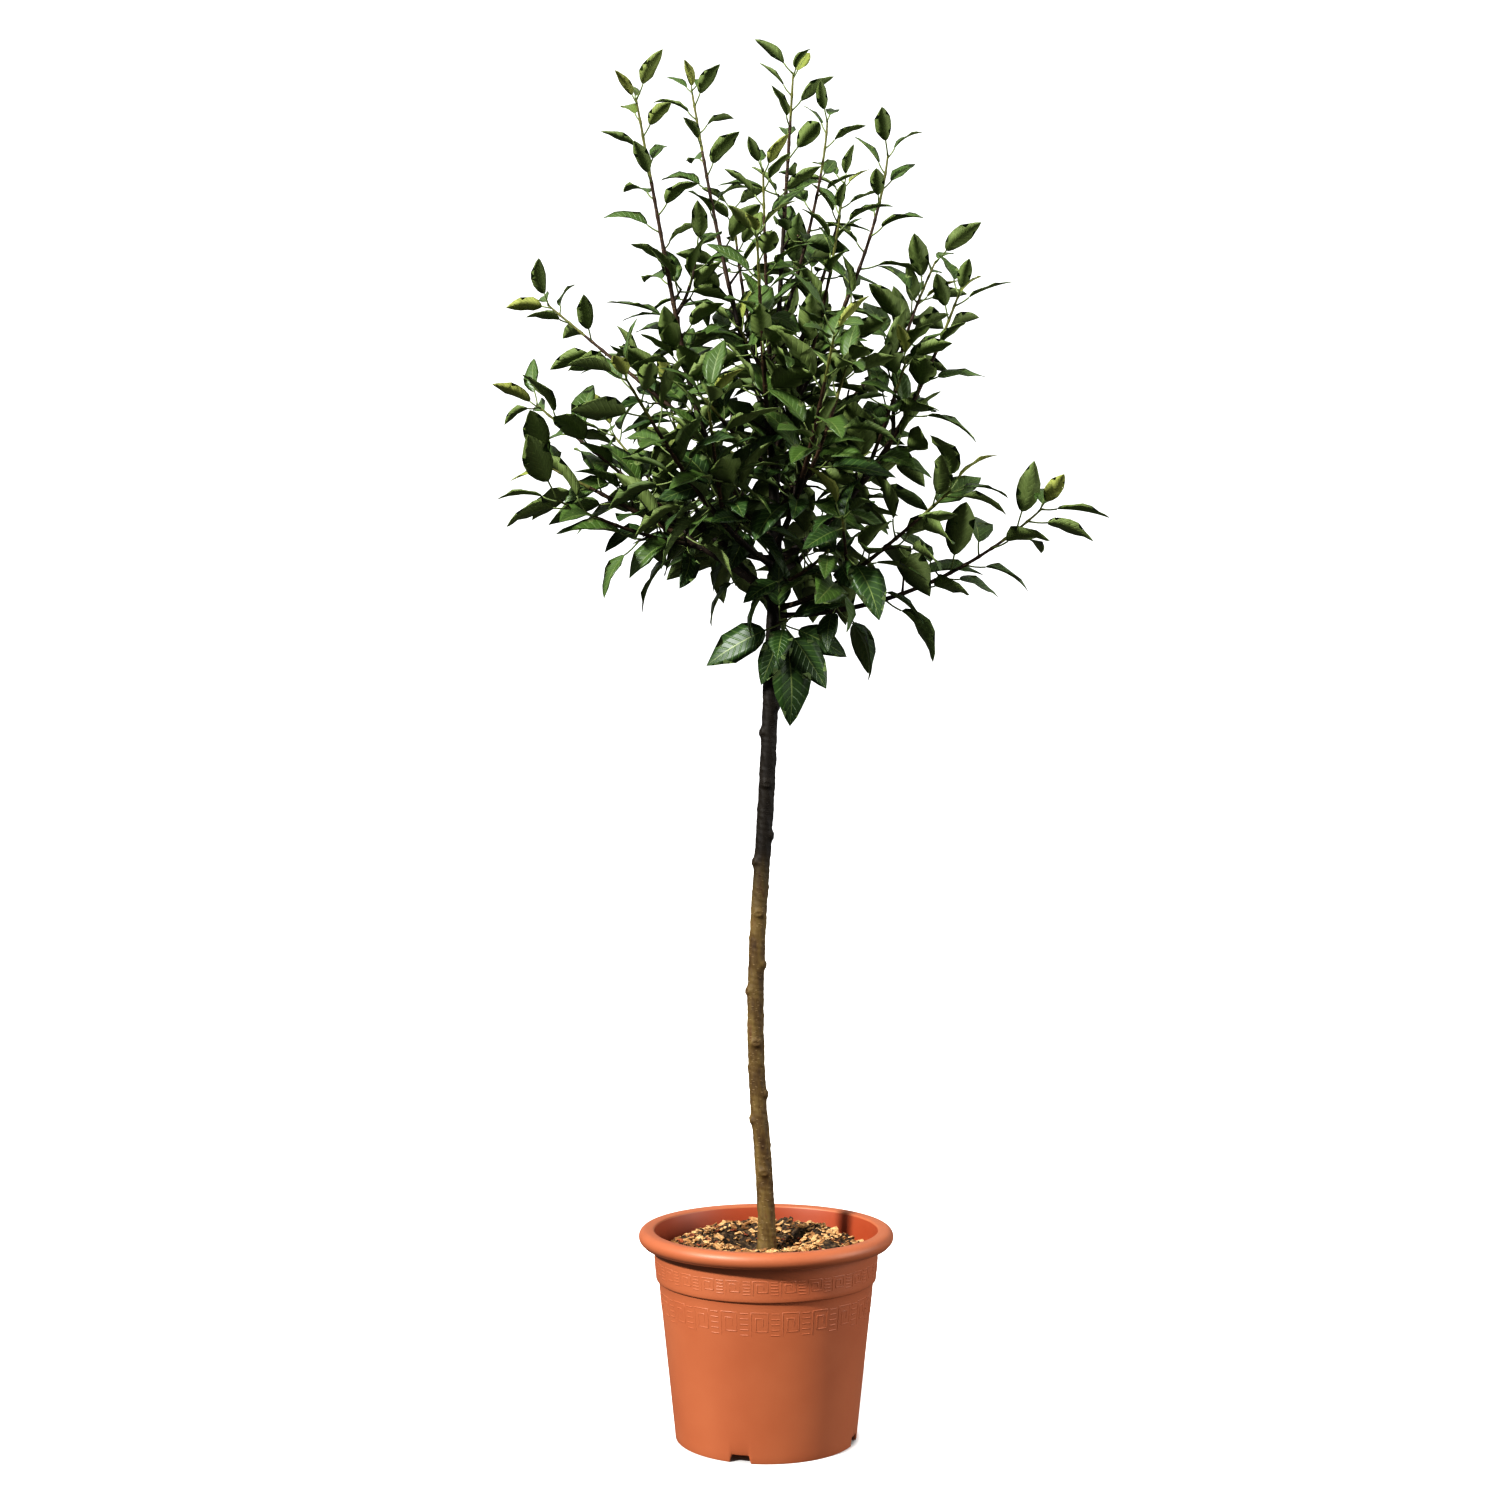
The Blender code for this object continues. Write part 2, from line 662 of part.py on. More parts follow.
def pot_profile():
    """The pot's section, radius and height, round from the middle of its underside."""
    top = POT_HEIGHT
    under = top - RIM_DROP
    wall_foot = FOOT_RADIUS - WALL
    points = [(0.0, 0.0), (PAD_RADIUS, 0.0), (PAD_RADIUS + PAD_SLOPE, FLOOR_LIFT)]
    points += [(wall_foot - 0.0015, FLOOR_LIFT), (wall_foot - 0.001, 0.0)]
    points += [(FOOT_RADIUS - 0.0008, 0.0), (FOOT_RADIUS, 0.0012)]
    points += [(BODY_TOP_RADIUS, BAND_FOOT - BAND_STEP), (BODY_TOP_RADIUS + BAND_STEP, BAND_FOOT)]
    points += [COLLAR_TOP]
    # The lip curls out and down from the mouth, open underneath
    wide, high = LIP_HOLLOW_HALF
    for angle in (130, 50):
        turn = math.radians(angle)
        height = LIP_HOLLOW_HEIGHT + high * math.sin(turn)
        points.append((LIP_MIDDLE + 0.0007 + wide * math.cos(turn), height))
    points += [(RIM_RADIUS - WALL - 0.0004, under), (RIM_RADIUS - 0.0012, under)]
    wide, high = LIP_HALF
    for angle in (-15, 20, 55, 90, 128):
        turn = math.radians(angle)
        points.append((LIP_MIDDLE + 0.0003 + wide * math.cos(turn), top - high + high * math.sin(turn)))
    points += [(MOUTH_RADIUS, MOUTH_HEIGHT), INNER_LEDGE, (wall_foot, FLOOR_LIFT + WALL)]
    return points + [(PAD_RADIUS, FLOOR_LIFT + WALL), (PAD_RADIUS - PAD_SLOPE, WALL), (0.0, WALL)]


def pot(material):
    """A turned shell with a rolled lip and a raised band.

    It stands on a middle pad and a foot ring. Drain holes open in the channel between them, and
    notches through the ring let the water out.
    """
    profile = pot_profile()
    verts, faces = [(0, 0, profile[0][1])], []
    rings = []
    for radius, height in profile[1:-1]:
        rings.append(len(verts))
        for k in range(POT_SIDES):
            angle = 2 * math.pi * k / POT_SIDES
            verts.append((radius * math.cos(angle), radius * math.sin(angle), height))
    verts.append((0, 0, profile[-1][1]))
    last = len(verts) - 1
    for k in range(POT_SIDES):
        after = (k + 1) % POT_SIDES
        faces.append((0, rings[0] + after, rings[0] + k))
        faces.append((last, rings[-1] + k, rings[-1] + after))
        for low, high in zip(rings, rings[1:]):
            faces.append((low + k, low + after, high + after, high + k))
    made = body("pot", verts, faces, material, 40)
    for k in range(NOTCHES):
        turn = math.radians(NOTCH_HEADING + k * 360 / NOTCHES)
        way = Vector((math.cos(turn), math.sin(turn), 0))
        across = Vector((-math.sin(turn), math.cos(turn), 0))
        corners = []
        low = -CUT_SPARE
        for reach in NOTCH_REACH:
            for share, height in ((-1, low), (1, low), (0.8, NOTCH_HEIGHT), (-0.8, NOTCH_HEIGHT)):
                corners.append(way * reach + across * share * NOTCH_WIDTH / 2 + Vector((0, 0, height)))
        sides = [(0, 1, 2, 3), (7, 6, 5, 4), (0, 4, 5, 1), (1, 5, 6, 2), (2, 6, 7, 3), (3, 7, 4, 0)]
        cutter = body("notch_cutter", corners, sides, material)
        cut(made, cutter)
        bpy.data.objects.remove(cutter)
    for k in range(DRAINS):
        turn = math.radians(NOTCH_HEADING + (k + 0.5) * 360 / DRAINS)
        middle = DRAIN_CIRCLE * np.array([math.cos(turn), math.sin(turn), 0.0])
        upright = np.array([0.0, 0.0, 1.0])
        reach = (FLOOR_LIFT - CUT_SPARE, FLOOR_LIFT + WALL + CUT_SPARE)
        ends = [middle + upright * height for height in reach]
        cutter = body("drain_cutter", *tube(ends, [upright] * 2, [DRAIN_RADIUS] * 2, 6), material)
        cut(made, cutter)
        bpy.data.objects.remove(cutter)
    return made


def inner_wall(height):
    """Radius of the pot's inside at a height, on its flat facets."""
    heights = (FLOOR_LIFT + WALL, INNER_LEDGE[1], MOUTH_HEIGHT)
    radii = (FOOT_RADIUS - WALL, INNER_LEDGE[0], MOUTH_RADIUS)
    return float(np.interp(height, heights, radii)) * math.cos(math.pi / POT_SIDES)


def soil_height(x, y):
    """The top of the soil: level on average, higher at the back left, with a low heap."""
    reach = math.hypot(x, y) / MOUTH_RADIUS
    tilt = SOIL_TILT * (0.55 * y - 0.75 * x) / MOUTH_RADIUS
    heap = SOIL_HEAP * math.sin(math.pi * min(1.0, reach))
    return SOIL_LEVEL + tilt + heap - SOIL_DIP * (1 - reach) ** 2


def soil(material):
    """The filling, 0.3 mm clear of the pot all round, with a flat seat for the trunk's foot."""
    floor = FLOOR_LIFT + WALL + CLEAR
    seat = TRUNK[0][0] - CLEAR
    verts, faces = [(0, 0, WALL + CLEAR)], []
    rings = []
    inner = math.cos(math.pi / POT_SIDES)
    side = (
        ((PAD_RADIUS - PAD_SLOPE) * inner - 2 * CLEAR, WALL + CLEAR),
        (PAD_RADIUS * inner - 2 * CLEAR, floor),
        (inner_wall(floor) - 1.5 * CLEAR, floor),
        (inner_wall(SOIL_SHOULDER) - 1.5 * CLEAR, SOIL_SHOULDER),
    )
    for radius, height in side:
        rings.append(len(verts))
        for k in range(SOIL_SIDES):
            angle = 2 * math.pi * k / SOIL_SIDES
            verts.append((radius * math.cos(angle), radius * math.sin(angle), height))
    for share in SOIL_SHARES:
        rings.append(len(verts))
        for k in range(SOIL_SIDES):
            angle = 2 * math.pi * k / SOIL_SIDES
            radius = share * (inner_wall(SOIL_EDGE) - 1.5 * CLEAR)
            x, y = radius * math.cos(angle), radius * math.sin(angle)
            verts.append((x, y, soil_height(x, y) if share > SEAT_SHARE else seat))
    verts.append((0, 0, seat))
    last = len(verts) - 1
    for k in range(SOIL_SIDES):
        after = (k + 1) % SOIL_SIDES
        faces.append((0, rings[0] + after, rings[0] + k))
        faces.append((last, rings[-1] + k, rings[-1] + after))
        for low, high in zip(rings, rings[1:]):
            faces.append((low + k, low + after, high + after, high + k))
    return body("soil", verts, faces, material)


def trunk_solid(name, swell, material):
    """The trunk from its flat foot to its fork, or the same shape swollen, as a cutter."""
    low, high = TRUNK[0][0], TRUNK[-1][0]
    places = np.linspace(0, 1, TRUNK_RINGS) ** TRUNK_RING_POWER * (high - low) + low
    if swell:
        places[-1] += CLEARING_TOP
    points = np.array([trunk_at(min(place, high))[0] for place in places])
    points[-1][2] = places[-1]
    ways = np.gradient(points, axis=0)
    ways /= np.linalg.norm(ways, axis=1)[:, None]
    radii = np.array([trunk_at(place)[1] + swell for place in places])
    verts, faces = tube(points, ways, radii, TRUNK_SIDES)
    for k in range(TRUNK_SIDES):
        verts[k][2] = low
    return body(name, verts, faces, material, 50)


def trunk(material):
    """The trunk with the stubs of the side shoots that were rubbed off its clear stem."""
    made = trunk_solid("trunk", 0.0, material)
    stubs = []
    for k in range(STUBS):
        centre, radius = trunk_at(STUB_FIRST + k * STUB_GAP)
        heading = math.radians(STUB_HEADING + k * STUB_TURN)
        out = unit(np.array([math.cos(heading), math.sin(heading), STUB_RISE]))
        points = np.array([centre, centre + out * (radius + STUB_STANDS)])
        stubs.append(body("stub", *tube(points, [out] * 2, STUB_RADII, STUB_SIDES), material))
    fuse(made, stubs)
    return made


class Taken:
    """Solids already placed, so that a new twig or leaf can be tested against them exactly."""

    def __init__(self):
        self.items = []

    def add(self, owner, shape):
        points = np.array(shape[0])
        self.items.append((owner, points.min(0), points.max(0), tree_of(shape)))

    def touches(self, shape, skipped=None, only=None):
        """True if a shape meets a placed solid, of another owner or of just the one named."""
        points = np.array(shape[0])
        low, high = points.min(0), points.max(0)
        tree = tree_of(shape)
        for owner, box_low, box_high, other in self.items:
            if owner == skipped or (only and owner != only):
                continue
            if (box_low > high).any() or (box_high < low).any():
                continue
            if tree.overlap(other):
                return True
        return False


def tree_of(shape):
    verts, faces = shape
    return BVHTree.FromPolygons([tuple(v) for v in verts], faces)


def weak_places(made):
    """Where a solid touches itself: edges with more or fewer than two faces once points are welded."""
    made.data.calc_loop_triangles()
    corners = np.empty(len(made.data.loop_triangles) * 3, np.int32)
    made.data.loop_triangles.foreach_get("vertices", corners)
    points = np.empty(len(made.data.vertices) * 3, np.float32)
    made.data.vertices.foreach_get("co", points)
    points = points.reshape(-1, 3).astype(float)
    places = []
    for weld in (MERGE, 4 * MERGE):
        _, first, index = np.unique(
            np.round(points / weld).astype(np.int64), axis=0, return_index=True, return_inverse=True
        )
        faces = index.reshape(-1)[corners.reshape(-1, 3)]
        faces = faces[~(faces == np.roll(faces, 1, axis=1)).any(axis=1)]
        ends = np.sort(np.concatenate([faces[:, [0, 1]], faces[:, [1, 2]], faces[:, [2, 0]]]), axis=1)
        edges, uses = np.unique(ends, axis=0, return_counts=True)
        places.append(points[first][edges[uses != 2]].mean(axis=1))
    return np.vstack(places)


def mass_solid(name, stem, pieces, clearing, material):
    """One mass in one solid. Pieces by a place where it touches itself are dropped in rounds."""
    for _ in range(SOLID_ROUNDS):
        made = body("foliage_" + name, *stem, material)
        fuse(made, [body("piece", *shape, material) for shape in pieces], "MANIFOLD")
        if clearing:
            cut(made, clearing, "MANIFOLD")
        drop_scraps(made)
        weak = weak_places(made)
        if not len(weak):
            return
        trees = [tree_of(shape) for shape in pieces]
        faulty = set()
        for place in weak:
            gaps = [tree.find_nearest(Vector(place))[3] for tree in trees]
            faulty.add(int(np.argmin(gaps)))
        pieces = [shape for k, shape in enumerate(pieces) if k not in faulty]
        bpy.data.objects.remove(made)
    raise ValueError(name + " still touches itself")


def main():
    for old in list(bpy.data.objects):
        bpy.data.objects.remove(old)
    terracotta = finish("terracotta_plastic", (0.60, 0.17, 0.07), 0.42)
    compost = finish("bark_compost", (0.10, 0.065, 0.04), 0.95)
    bark = finish("young_bark", (0.16, 0.115, 0.06), 0.75)
    foliage = finish("green_leaf", (0.045, 0.105, 0.022), 0.45)

    pot(terracotta)
    soil(compost)
    trunk(bark)
    clearing = trunk_solid("trunk_clearing", CLEAR, bark)
    clearing.hide_render = True

    boughs, masses = grow_tree()
    taken = Taken()
    axis = Stem([trunk_at(h)[0] for h in np.linspace(TRUNK[0][0], TRUNK[-1][0], 60)], 1, 1)
    axis.radii = np.array([trunk_at(point[2])[1] + 2 * CLEAR for point in axis.points])
    taken.add("trunk", bar(axis, 0.03, TRUNK_SIDES))
    for name, stem in boughs.items():
        made = body("bough_" + name, *bar(stem, BOUGH_RING_GAP, BOUGH_SIDES), bark, 60)
        cut(made, clearing)
        drop_scraps(made)
        middle = stem.part(0.012, stem.length - 0.002)
        taken.add("bough", bar(middle, BOUGH_RING_GAP, BOUGH_SIDES, 2 * CLEAR))

    stems, twigs = {}, {}
    for mass in masses:
        first = CLEAR if mass.name in boughs or mass.name == "crown_tip" else 0.0
        stems[mass.name] = bar(mass.stem.part(first, mass.stem.length), STEM_RING_GAP, STEM_SIDES)
        taken.add(mass.name, stems[mass.name])
    for mass in masses:
        twigs[mass.name] = []
        for twig in mass.branches + mass.spurs:
            if taken.touches(bar(twig, STEM_RING_GAP, TWIG_SIDES, CLEAR), skipped=mass.name):
                continue
            shape = bar(twig, STEM_RING_GAP, TWIG_SIDES)
            taken.add(mass.name, shape)
            twigs[mass.name].append(shape)

    outer_parts = Taken()
    for mass in masses:
        pieces = list(twigs[mass.name])
        for shape in [stems[mass.name]] + pieces:
            outer_parts.add(mass.name, shape)
        for leaf in mass.leaves:
            outer = leaf_solid(leaf, CLEAR, STALK_SHARE)
            if outer_parts.touches(outer, only=mass.name):
                continue
            if taken.touches(leaf_solid(leaf, TEST_SWELL), skipped=mass.name):
                continue
            shape = leaf_solid(leaf)
            taken.add(mass.name, shape)
            outer_parts.add(mass.name, leaf_solid(leaf, 0.0, STALK_SHARE))
            pieces.append(shape)
        on_bough = mass.name in boughs or mass.name == "crown_tip"
        mass_solid(mass.name, stems[mass.name], pieces, None if on_bough else clearing, foliage)
    bpy.data.objects.remove(clearing)


main()
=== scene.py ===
"""The looks of a potted half-standard apple tree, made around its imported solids.

Metres, +Z up, with the origin on the pot's axis at the surface that the pot stands on. +X is to
the right and +Y is away from someone who stands in front of the tree. A heading is a compass
turn about Z: 0 is +X, 90 is +Y and 270 is towards the front.
"""

import math

import bpy
import numpy as np
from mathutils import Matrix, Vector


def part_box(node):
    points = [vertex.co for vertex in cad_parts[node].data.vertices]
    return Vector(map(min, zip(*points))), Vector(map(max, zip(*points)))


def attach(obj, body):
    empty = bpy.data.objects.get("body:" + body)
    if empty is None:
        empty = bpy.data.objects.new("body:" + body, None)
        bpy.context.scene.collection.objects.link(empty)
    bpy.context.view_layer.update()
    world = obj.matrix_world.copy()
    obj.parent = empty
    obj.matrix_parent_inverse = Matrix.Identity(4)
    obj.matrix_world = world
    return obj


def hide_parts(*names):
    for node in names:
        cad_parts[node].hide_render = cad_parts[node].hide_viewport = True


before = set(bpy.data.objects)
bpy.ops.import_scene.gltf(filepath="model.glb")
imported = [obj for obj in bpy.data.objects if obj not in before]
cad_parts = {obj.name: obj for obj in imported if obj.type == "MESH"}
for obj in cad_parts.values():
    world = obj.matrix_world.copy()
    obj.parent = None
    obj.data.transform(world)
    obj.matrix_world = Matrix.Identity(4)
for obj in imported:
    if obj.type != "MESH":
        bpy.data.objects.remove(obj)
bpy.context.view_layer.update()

for old in ("Cube", "Light", "Camera"):
    if old in bpy.data.objects:
        bpy.data.objects.remove(bpy.data.objects[old])


# The pot is one injection moulding in terracotta coloured polypropylene. Its wall draws in
# towards the foot so that pots stack, a rolled lip and a stepped collar stiffen the mouth, and
# water runs off along a channel under it and out by four notches in the foot ring.
pot_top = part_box("pot")[1].z
foot_radius = 0.1068
wall = 0.003
mouth = (0.1318, 0.2432)
ledge = (0.1262, 0.2015)
lip_middle = (0.1414, pot_top - 0.0090)
lip_half = (0.0088, 0.0090)
lip_crown_middle = (0.1414, pot_top - 0.0016)
lip_crown_half = (0.0090, 0.0016)
lip_drop = 0.0178
lip_hollow_middle = (0.1410, 0.2367)
lip_hollow_half = (0.0048, 0.0062)
collar_low, collar_high = (0.1298, 0.1888), (0.1334, 0.2347)
body_top = (0.1266, 0.1860)
floor_lift = 0.010
pad_radius = 0.058
notch_heading = 253.5
notch_half, notch_slope = 0.0125, 0.0022
notch_height = 0.009
ring_from, ring_inner = pad_radius + wall + 0.01, foot_radius - wall - 0.0008
pot_columns = 600


def linear(code):
    """An sRGB hex colour as linear red, green and blue."""
    parts = np.array([int(code[k : k + 2], 16) / 255 for k in (1, 3, 5)])
    low = parts / 12.92
    return tuple(np.where(parts <= 0.04045, low, ((parts + 0.055) / 1.055) ** 2.4))


def join(source, output, target, place):
    """Links a node's output to another's input."""
    source.id_data.links.new(source.outputs[output], target.inputs[place])


def node(material, kind, settings=None, links=None, stops=()):
    """Adds a shader node: settings by name or by input, links into it, and a ramp's stops."""
    made = material.node_tree.nodes.new("ShaderNode" + kind)
    for key, value in (settings or {}).items():
        if isinstance(key, int) or key in made.inputs:
            made.inputs[key].default_value = value
        else:
            setattr(made, key, value)
    for key, (source, output) in (links or {}).items():
        join(source, output, made, key)
    for _ in stops[2:]:
        made.color_ramp.elements.new(0.5)
    for number, (place, code) in enumerate(stops):
        made.color_ramp.elements[number].position = place
        made.color_ramp.elements[number].color = (*linear(code), 1)
    return made


def finish(name, code, roughness, ior=1.5):
    """A material with one colour, and its shader, to which patterns are then linked."""
    material = bpy.data.materials.new(name)
    material.use_nodes = True
    shader = material.node_tree.nodes["Principled BSDF"]
    shader.inputs["Base Color"].default_value = (*linear(code), 1)
    shader.inputs["Roughness"].default_value = roughness
    shader.inputs["IOR"].default_value = ior
    return material, shader


def mottled(material, shader, scale, detail, stops):
    """Noise in the piece's own metres, whose grey a ramp turns into the shader's colour."""
    place = node(material, "TexCoord")
    noise = node(material, "TexNoise", {"Scale": scale, "Detail": detail}, {"Vector": (place, "Object")})
    tint = node(material, "ValToRGB", links={"Fac": (noise, "Fac")}, stops=stops)
    join(tint, "Color", shader, "Base Color")
    return noise


def piece(name, points, blocks, materials, slots=None, uv=None, sharp=None):
    """One object from points and blocks of equal-sided faces, smooth but for edges over an angle.

    A block is an array with a row of point numbers for each face. Slots are one material number
    for each face and uv is one pair for each point.
    """
    mesh = bpy.data.meshes.new(name)
    faces = [row for block in blocks for row in block.tolist()]
    mesh.from_pydata(points.reshape(-1, 3).tolist(), [], faces)
    for material in materials:
        mesh.materials.append(material)
    mesh.shade_smooth()
    if sharp:
        mesh.set_sharp_from_angle(angle=math.radians(sharp))
    if slots is not None:
        mesh.polygons.foreach_set("material_index", np.asarray(slots, np.int32))
    if uv is not None:
        corners = np.empty(len(mesh.loops), np.int32)
        mesh.loops.foreach_get("vertex_index", corners)
        mesh.uv_layers.new(name="surface").data.foreach_set("uv", uv[corners].astype(np.float32).ravel())
    made = bpy.data.objects.new(name, mesh)
    bpy.context.scene.collection.objects.link(made)
    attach(made, "root")
    return made


def ring_faces(rings, sides, first=0):
    """Faces of rings set one over the next, closed round, and a point before and after them.

    Points are numbered ring by ring from first, with the two end points after the last ring.
    """
    ring, side = np.meshgrid(np.arange(rings - 1), np.arange(sides), indexing="ij")
    after = (side + 1) % sides
    quads = np.stack([ring * sides + side, ring * sides + after], -1)
    quads = np.concatenate([quads, quads[..., ::-1] + sides], -1).reshape(-1, 4)
    side = np.arange(sides)
    after = (side + 1) % sides
    last = (rings - 1) * sides
    low = np.stack([after, side, np.full(sides, rings * sides)], 1)
    high = np.stack([last + side, last + after, np.full(sides, rings * sides + 1)], 1)
    return quads + first, np.vstack([low, high]) + first


def copied(faces, stride, count):
    """One shape's faces for each of its copies, whose points follow on, stride by stride."""
    steps = stride * np.arange(count)[:, None, None]
    return (faces[None] + steps).reshape(-1, faces.shape[1])


def around(radius, angle, height):
    """Points about the axis: (r cos a, r sin a, height)."""
    return np.stack(np.broadcast_arrays(radius * np.cos(angle), radius * np.sin(angle), height), -1)


def arc(middle, half, first, last, steps):
    """An ellipse's arc: middle plus half the widths times cosine and sine, from first to last degree."""
    turn = np.radians(np.linspace(first, last, steps))
    return np.stack([middle[0] + half[0] * np.cos(turn), middle[1] + half[1] * np.sin(turn)], 1)


def straight(start, end, steps):
    """Evenly spaced points from start towards end, without the end itself."""
    return np.linspace(start, end, steps, endpoint=False)


def turned_shell(profile, columns, notches):
    """Radius and height carried round the axis: x = r cos a, y = r sin a, z = h.

    At a notch the foot ring's heights are squeezed up towards the channel: z = n + z (1 - n / c),
    with n the notch's height at that angle and c the height where the squeeze ends.
    """
    angle = np.linspace(0, 2 * math.pi, columns, endpoint=False)
    radius, height = profile[1:-1, 0, None], profile[1:-1, 1, None]
    ends = np.where(radius < ring_inner, floor_lift, 2 * floor_lift)
    ring = (radius > ring_from) & (height < ends)
    ring[len(ring) // 2 :] = False
    squeezed = notches(angle) + height * (1 - notches(angle) / ends)
    height = np.where(ring, squeezed, height)
    shell = around(radius, angle, height).reshape(-1, 3)
    poles = [(0, 0, profile[0, 1]), (0, 0, profile[-1, 1])]
    return np.vstack([shell, poles]), ring_faces(len(profile) - 2, columns)


def foot_notches(angle):
    """Height of the notch at each angle: full inside its half width, sloping to nothing just past it."""
    middles = np.radians(notch_heading + 90 * np.arange(4))
    off = np.abs((angle[:, None] - middles + math.pi) % (2 * math.pi) - math.pi).min(1) * foot_radius
    return notch_height * np.clip((notch_half - off) / notch_slope, 0, 1)


lip_under = pot_top - lip_drop
pot_profile = np.vstack(
    [
        [(0.0, 0.0)],
        straight((pad_radius - 0.0005, 0.0), (pad_radius + wall, floor_lift), 3),
        straight((pad_radius + wall, floor_lift), (foot_radius - wall - 0.001, floor_lift), 4),
        straight((foot_radius - wall - 0.001, floor_lift), (foot_radius - wall, 0.0), 5),
        [(foot_radius - wall, 0.0), (foot_radius - 0.0012, 0.0), (foot_radius - 0.0003, 0.0004)],
        straight((foot_radius, 0.0014), body_top, 26),
        [body_top, (0.1268, 0.1866), (0.1286, 0.1872), (0.1293, 0.1877)],
        straight(collar_low, collar_high, 12),
        arc(lip_hollow_middle, lip_hollow_half, 165, 20, 9),
        [(0.1452, 0.2347), (0.1448, lip_under + 0.0008), (0.1452, lip_under)],
        arc(lip_middle, lip_half, -58, 88, 17),
        arc(lip_crown_middle, lip_crown_half, 90, 168, 7),
        [(0.1321, pot_top - 0.0020)],
        straight(mouth, ledge, 5),
        straight(ledge, (foot_radius - wall, floor_lift + wall), 8),
        [(foot_radius - wall - 0.002, floor_lift + wall), (pad_radius, floor_lift + wall)],
        [(pad_radius - wall, wall), (0.0, wall)],
    ]
)
pot_points, pot_faces = turned_shell(pot_profile, pot_columns, foot_notches)

# Moulded polypropylene has a satin skin with a very fine grain and slightly uneven pigment.
terracotta, shader = finish("moulded_polypropylene", "#A66240", 0.50, 1.50)
mottled(terracotta, shader, 9.0, 3.0, ((0.3, "#A15D3C"), (0.7, "#AA6745")))
# The real grain is about 0.1 mm, drawn here at about 1 mm so that it shows.
place = node(terracotta, "TexCoord")
grain = node(terracotta, "TexNoise", {"Scale": 900.0, "Detail": 2.0}, {"Vector": (place, "Object")})
skin = node(terracotta, "Bump", {"Strength": 0.12, "Distance": 0.0002}, {"Height": (grain, "Fac")})
join(skin, "Normal", shader, "Normal")

# The inside is painted deeper and redder: painted shade within the pot and the light bounced between its
# walls.
shaded_inner_terracotta = terracotta.copy()
shaded_inner_terracotta.name = "moulded_polypropylene_inside"
inner_ramp = next(n for n in shaded_inner_terracotta.node_tree.nodes if n.type == "VALTORGB").color_ramp
for element, code in zip(inner_ramp.elements, ("#924426", "#9A4A2C")):
    element.color = (*linear(code), 1)
ring_of = np.repeat(np.arange(len(pot_profile) - 3), pot_columns)
mouth_ring = int(np.flatnonzero((pot_profile == mouth).all(1))[0]) - 1
pot_slots = np.concatenate([ring_of >= mouth_ring, np.zeros(pot_columns, bool), np.ones(pot_columns, bool)])
pot = piece("pot_shell", pot_points, pot_faces, [terracotta, shaded_inner_terracotta], pot_slots, sharp=38)
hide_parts("pot")


# The key pattern is engraved in the mould, so on the pot it stands a third of a millimetre
# proud: a row of squared spirals on the collar, each with a stack of bars beside it, and a
# taller row just under the step.

# Across and up the spiral's corners, as shares of one key's width and height
key_across = (0.0, 0.0, 0.52, 0.52, 0.15, 0.15, 0.37, 0.37)
key_up = (0.0, 1.0, 1.0, 0.20, 0.20, 0.76, 0.76, 0.44)
key_bars = [[(0.64, height), (0.90, height)] for height in (0.04, 0.27, 0.50, 0.73, 0.96)]
key_lines = [np.stack([key_across, key_up], 1)] + [np.array(bar) for bar in key_bars]
# Foot, height, number of keys, and the low and high ends of the wall that carries them
key_rows = (
    (0.1963, 0.0155, 26, collar_low, collar_high),
    (0.1483, 0.0270, 22, (foot_radius, 0.0014), body_top),
)
# Half widths of a line at its base and its crest, and how far it stands out and is sunk in
key_base, key_crest, key_stand, key_sunk = 0.00090, 0.00045, 0.00031, 0.0003


def raised_line(path):
    """A section of four corners carried along a path with square turns.

    Each corner is the path plus a share of its side normal. At a turn that is (n + m) / (1 + n.m)
    of the two sides' normals, so the line keeps its width.
    """
    way = np.diff(path, axis=0)
    way /= np.linalg.norm(way, axis=1)[:, None]
    normal = np.stack([-way[:, 1], way[:, 0]], 1)
    before, after = normal[:-1], normal[1:]
    turns = (before + after) / (1 + (before * after).sum(1))[:, None]
    side = np.vstack([normal[:1], turns, normal[-1:]])[:, None, :]
    across = np.array([key_base, key_crest, -key_crest, -key_base])[None, :, None]
    flat = path[:, None, :] + side * across
    stand = np.broadcast_to(np.array([-key_sunk, key_stand, key_stand, -key_sunk]), flat.shape[:2])
    return np.concatenate([flat, stand[..., None]], -1)


def key_row(foot, height, count, low, high):
    """One row of keys: arc length becomes an angle, and the wall's slope gives the radius."""
    middle = np.interp(foot + height / 2, (low[1], high[1]), (low[0], high[0]))
    pitch = 2 * math.pi * middle / count
    shapes = []
    for line in key_lines:
        path = line * (pitch, height)
        fine = np.concatenate([straight(a, b, 4) for a, b in zip(path, path[1:])] + [path[-1:]])
        shape = raised_line(fine)
        angle = shape[None, ..., 0] / middle + (np.arange(count) * 2 * math.pi / count)[:, None, None]
        z = foot + np.broadcast_to(shape[..., 1], angle.shape)
        radius = np.interp(z, (low[1], high[1]), (low[0], high[0])) + shape[..., 2]
        shapes.append(around(radius, angle, z))
    return shapes


def barred(shapes):
    """Points and faces of many closed bars, each an array of rings of points with flat ends."""
    points, quads, start = [], [], 0
    for bars in shapes:
        count, rings, sides = bars.shape[:3]
        ends = np.array([[3, 2, 1, 0], (rings - 1) * sides + np.arange(4)])
        face = np.vstack([ring_faces(rings, sides)[0], ends])
        quads.append(start + copied(face, rings * sides, count))
        points.append(bars.reshape(-1, 3))
        start += count * rings * sides
    return np.vstack(points), [np.vstack(quads)]


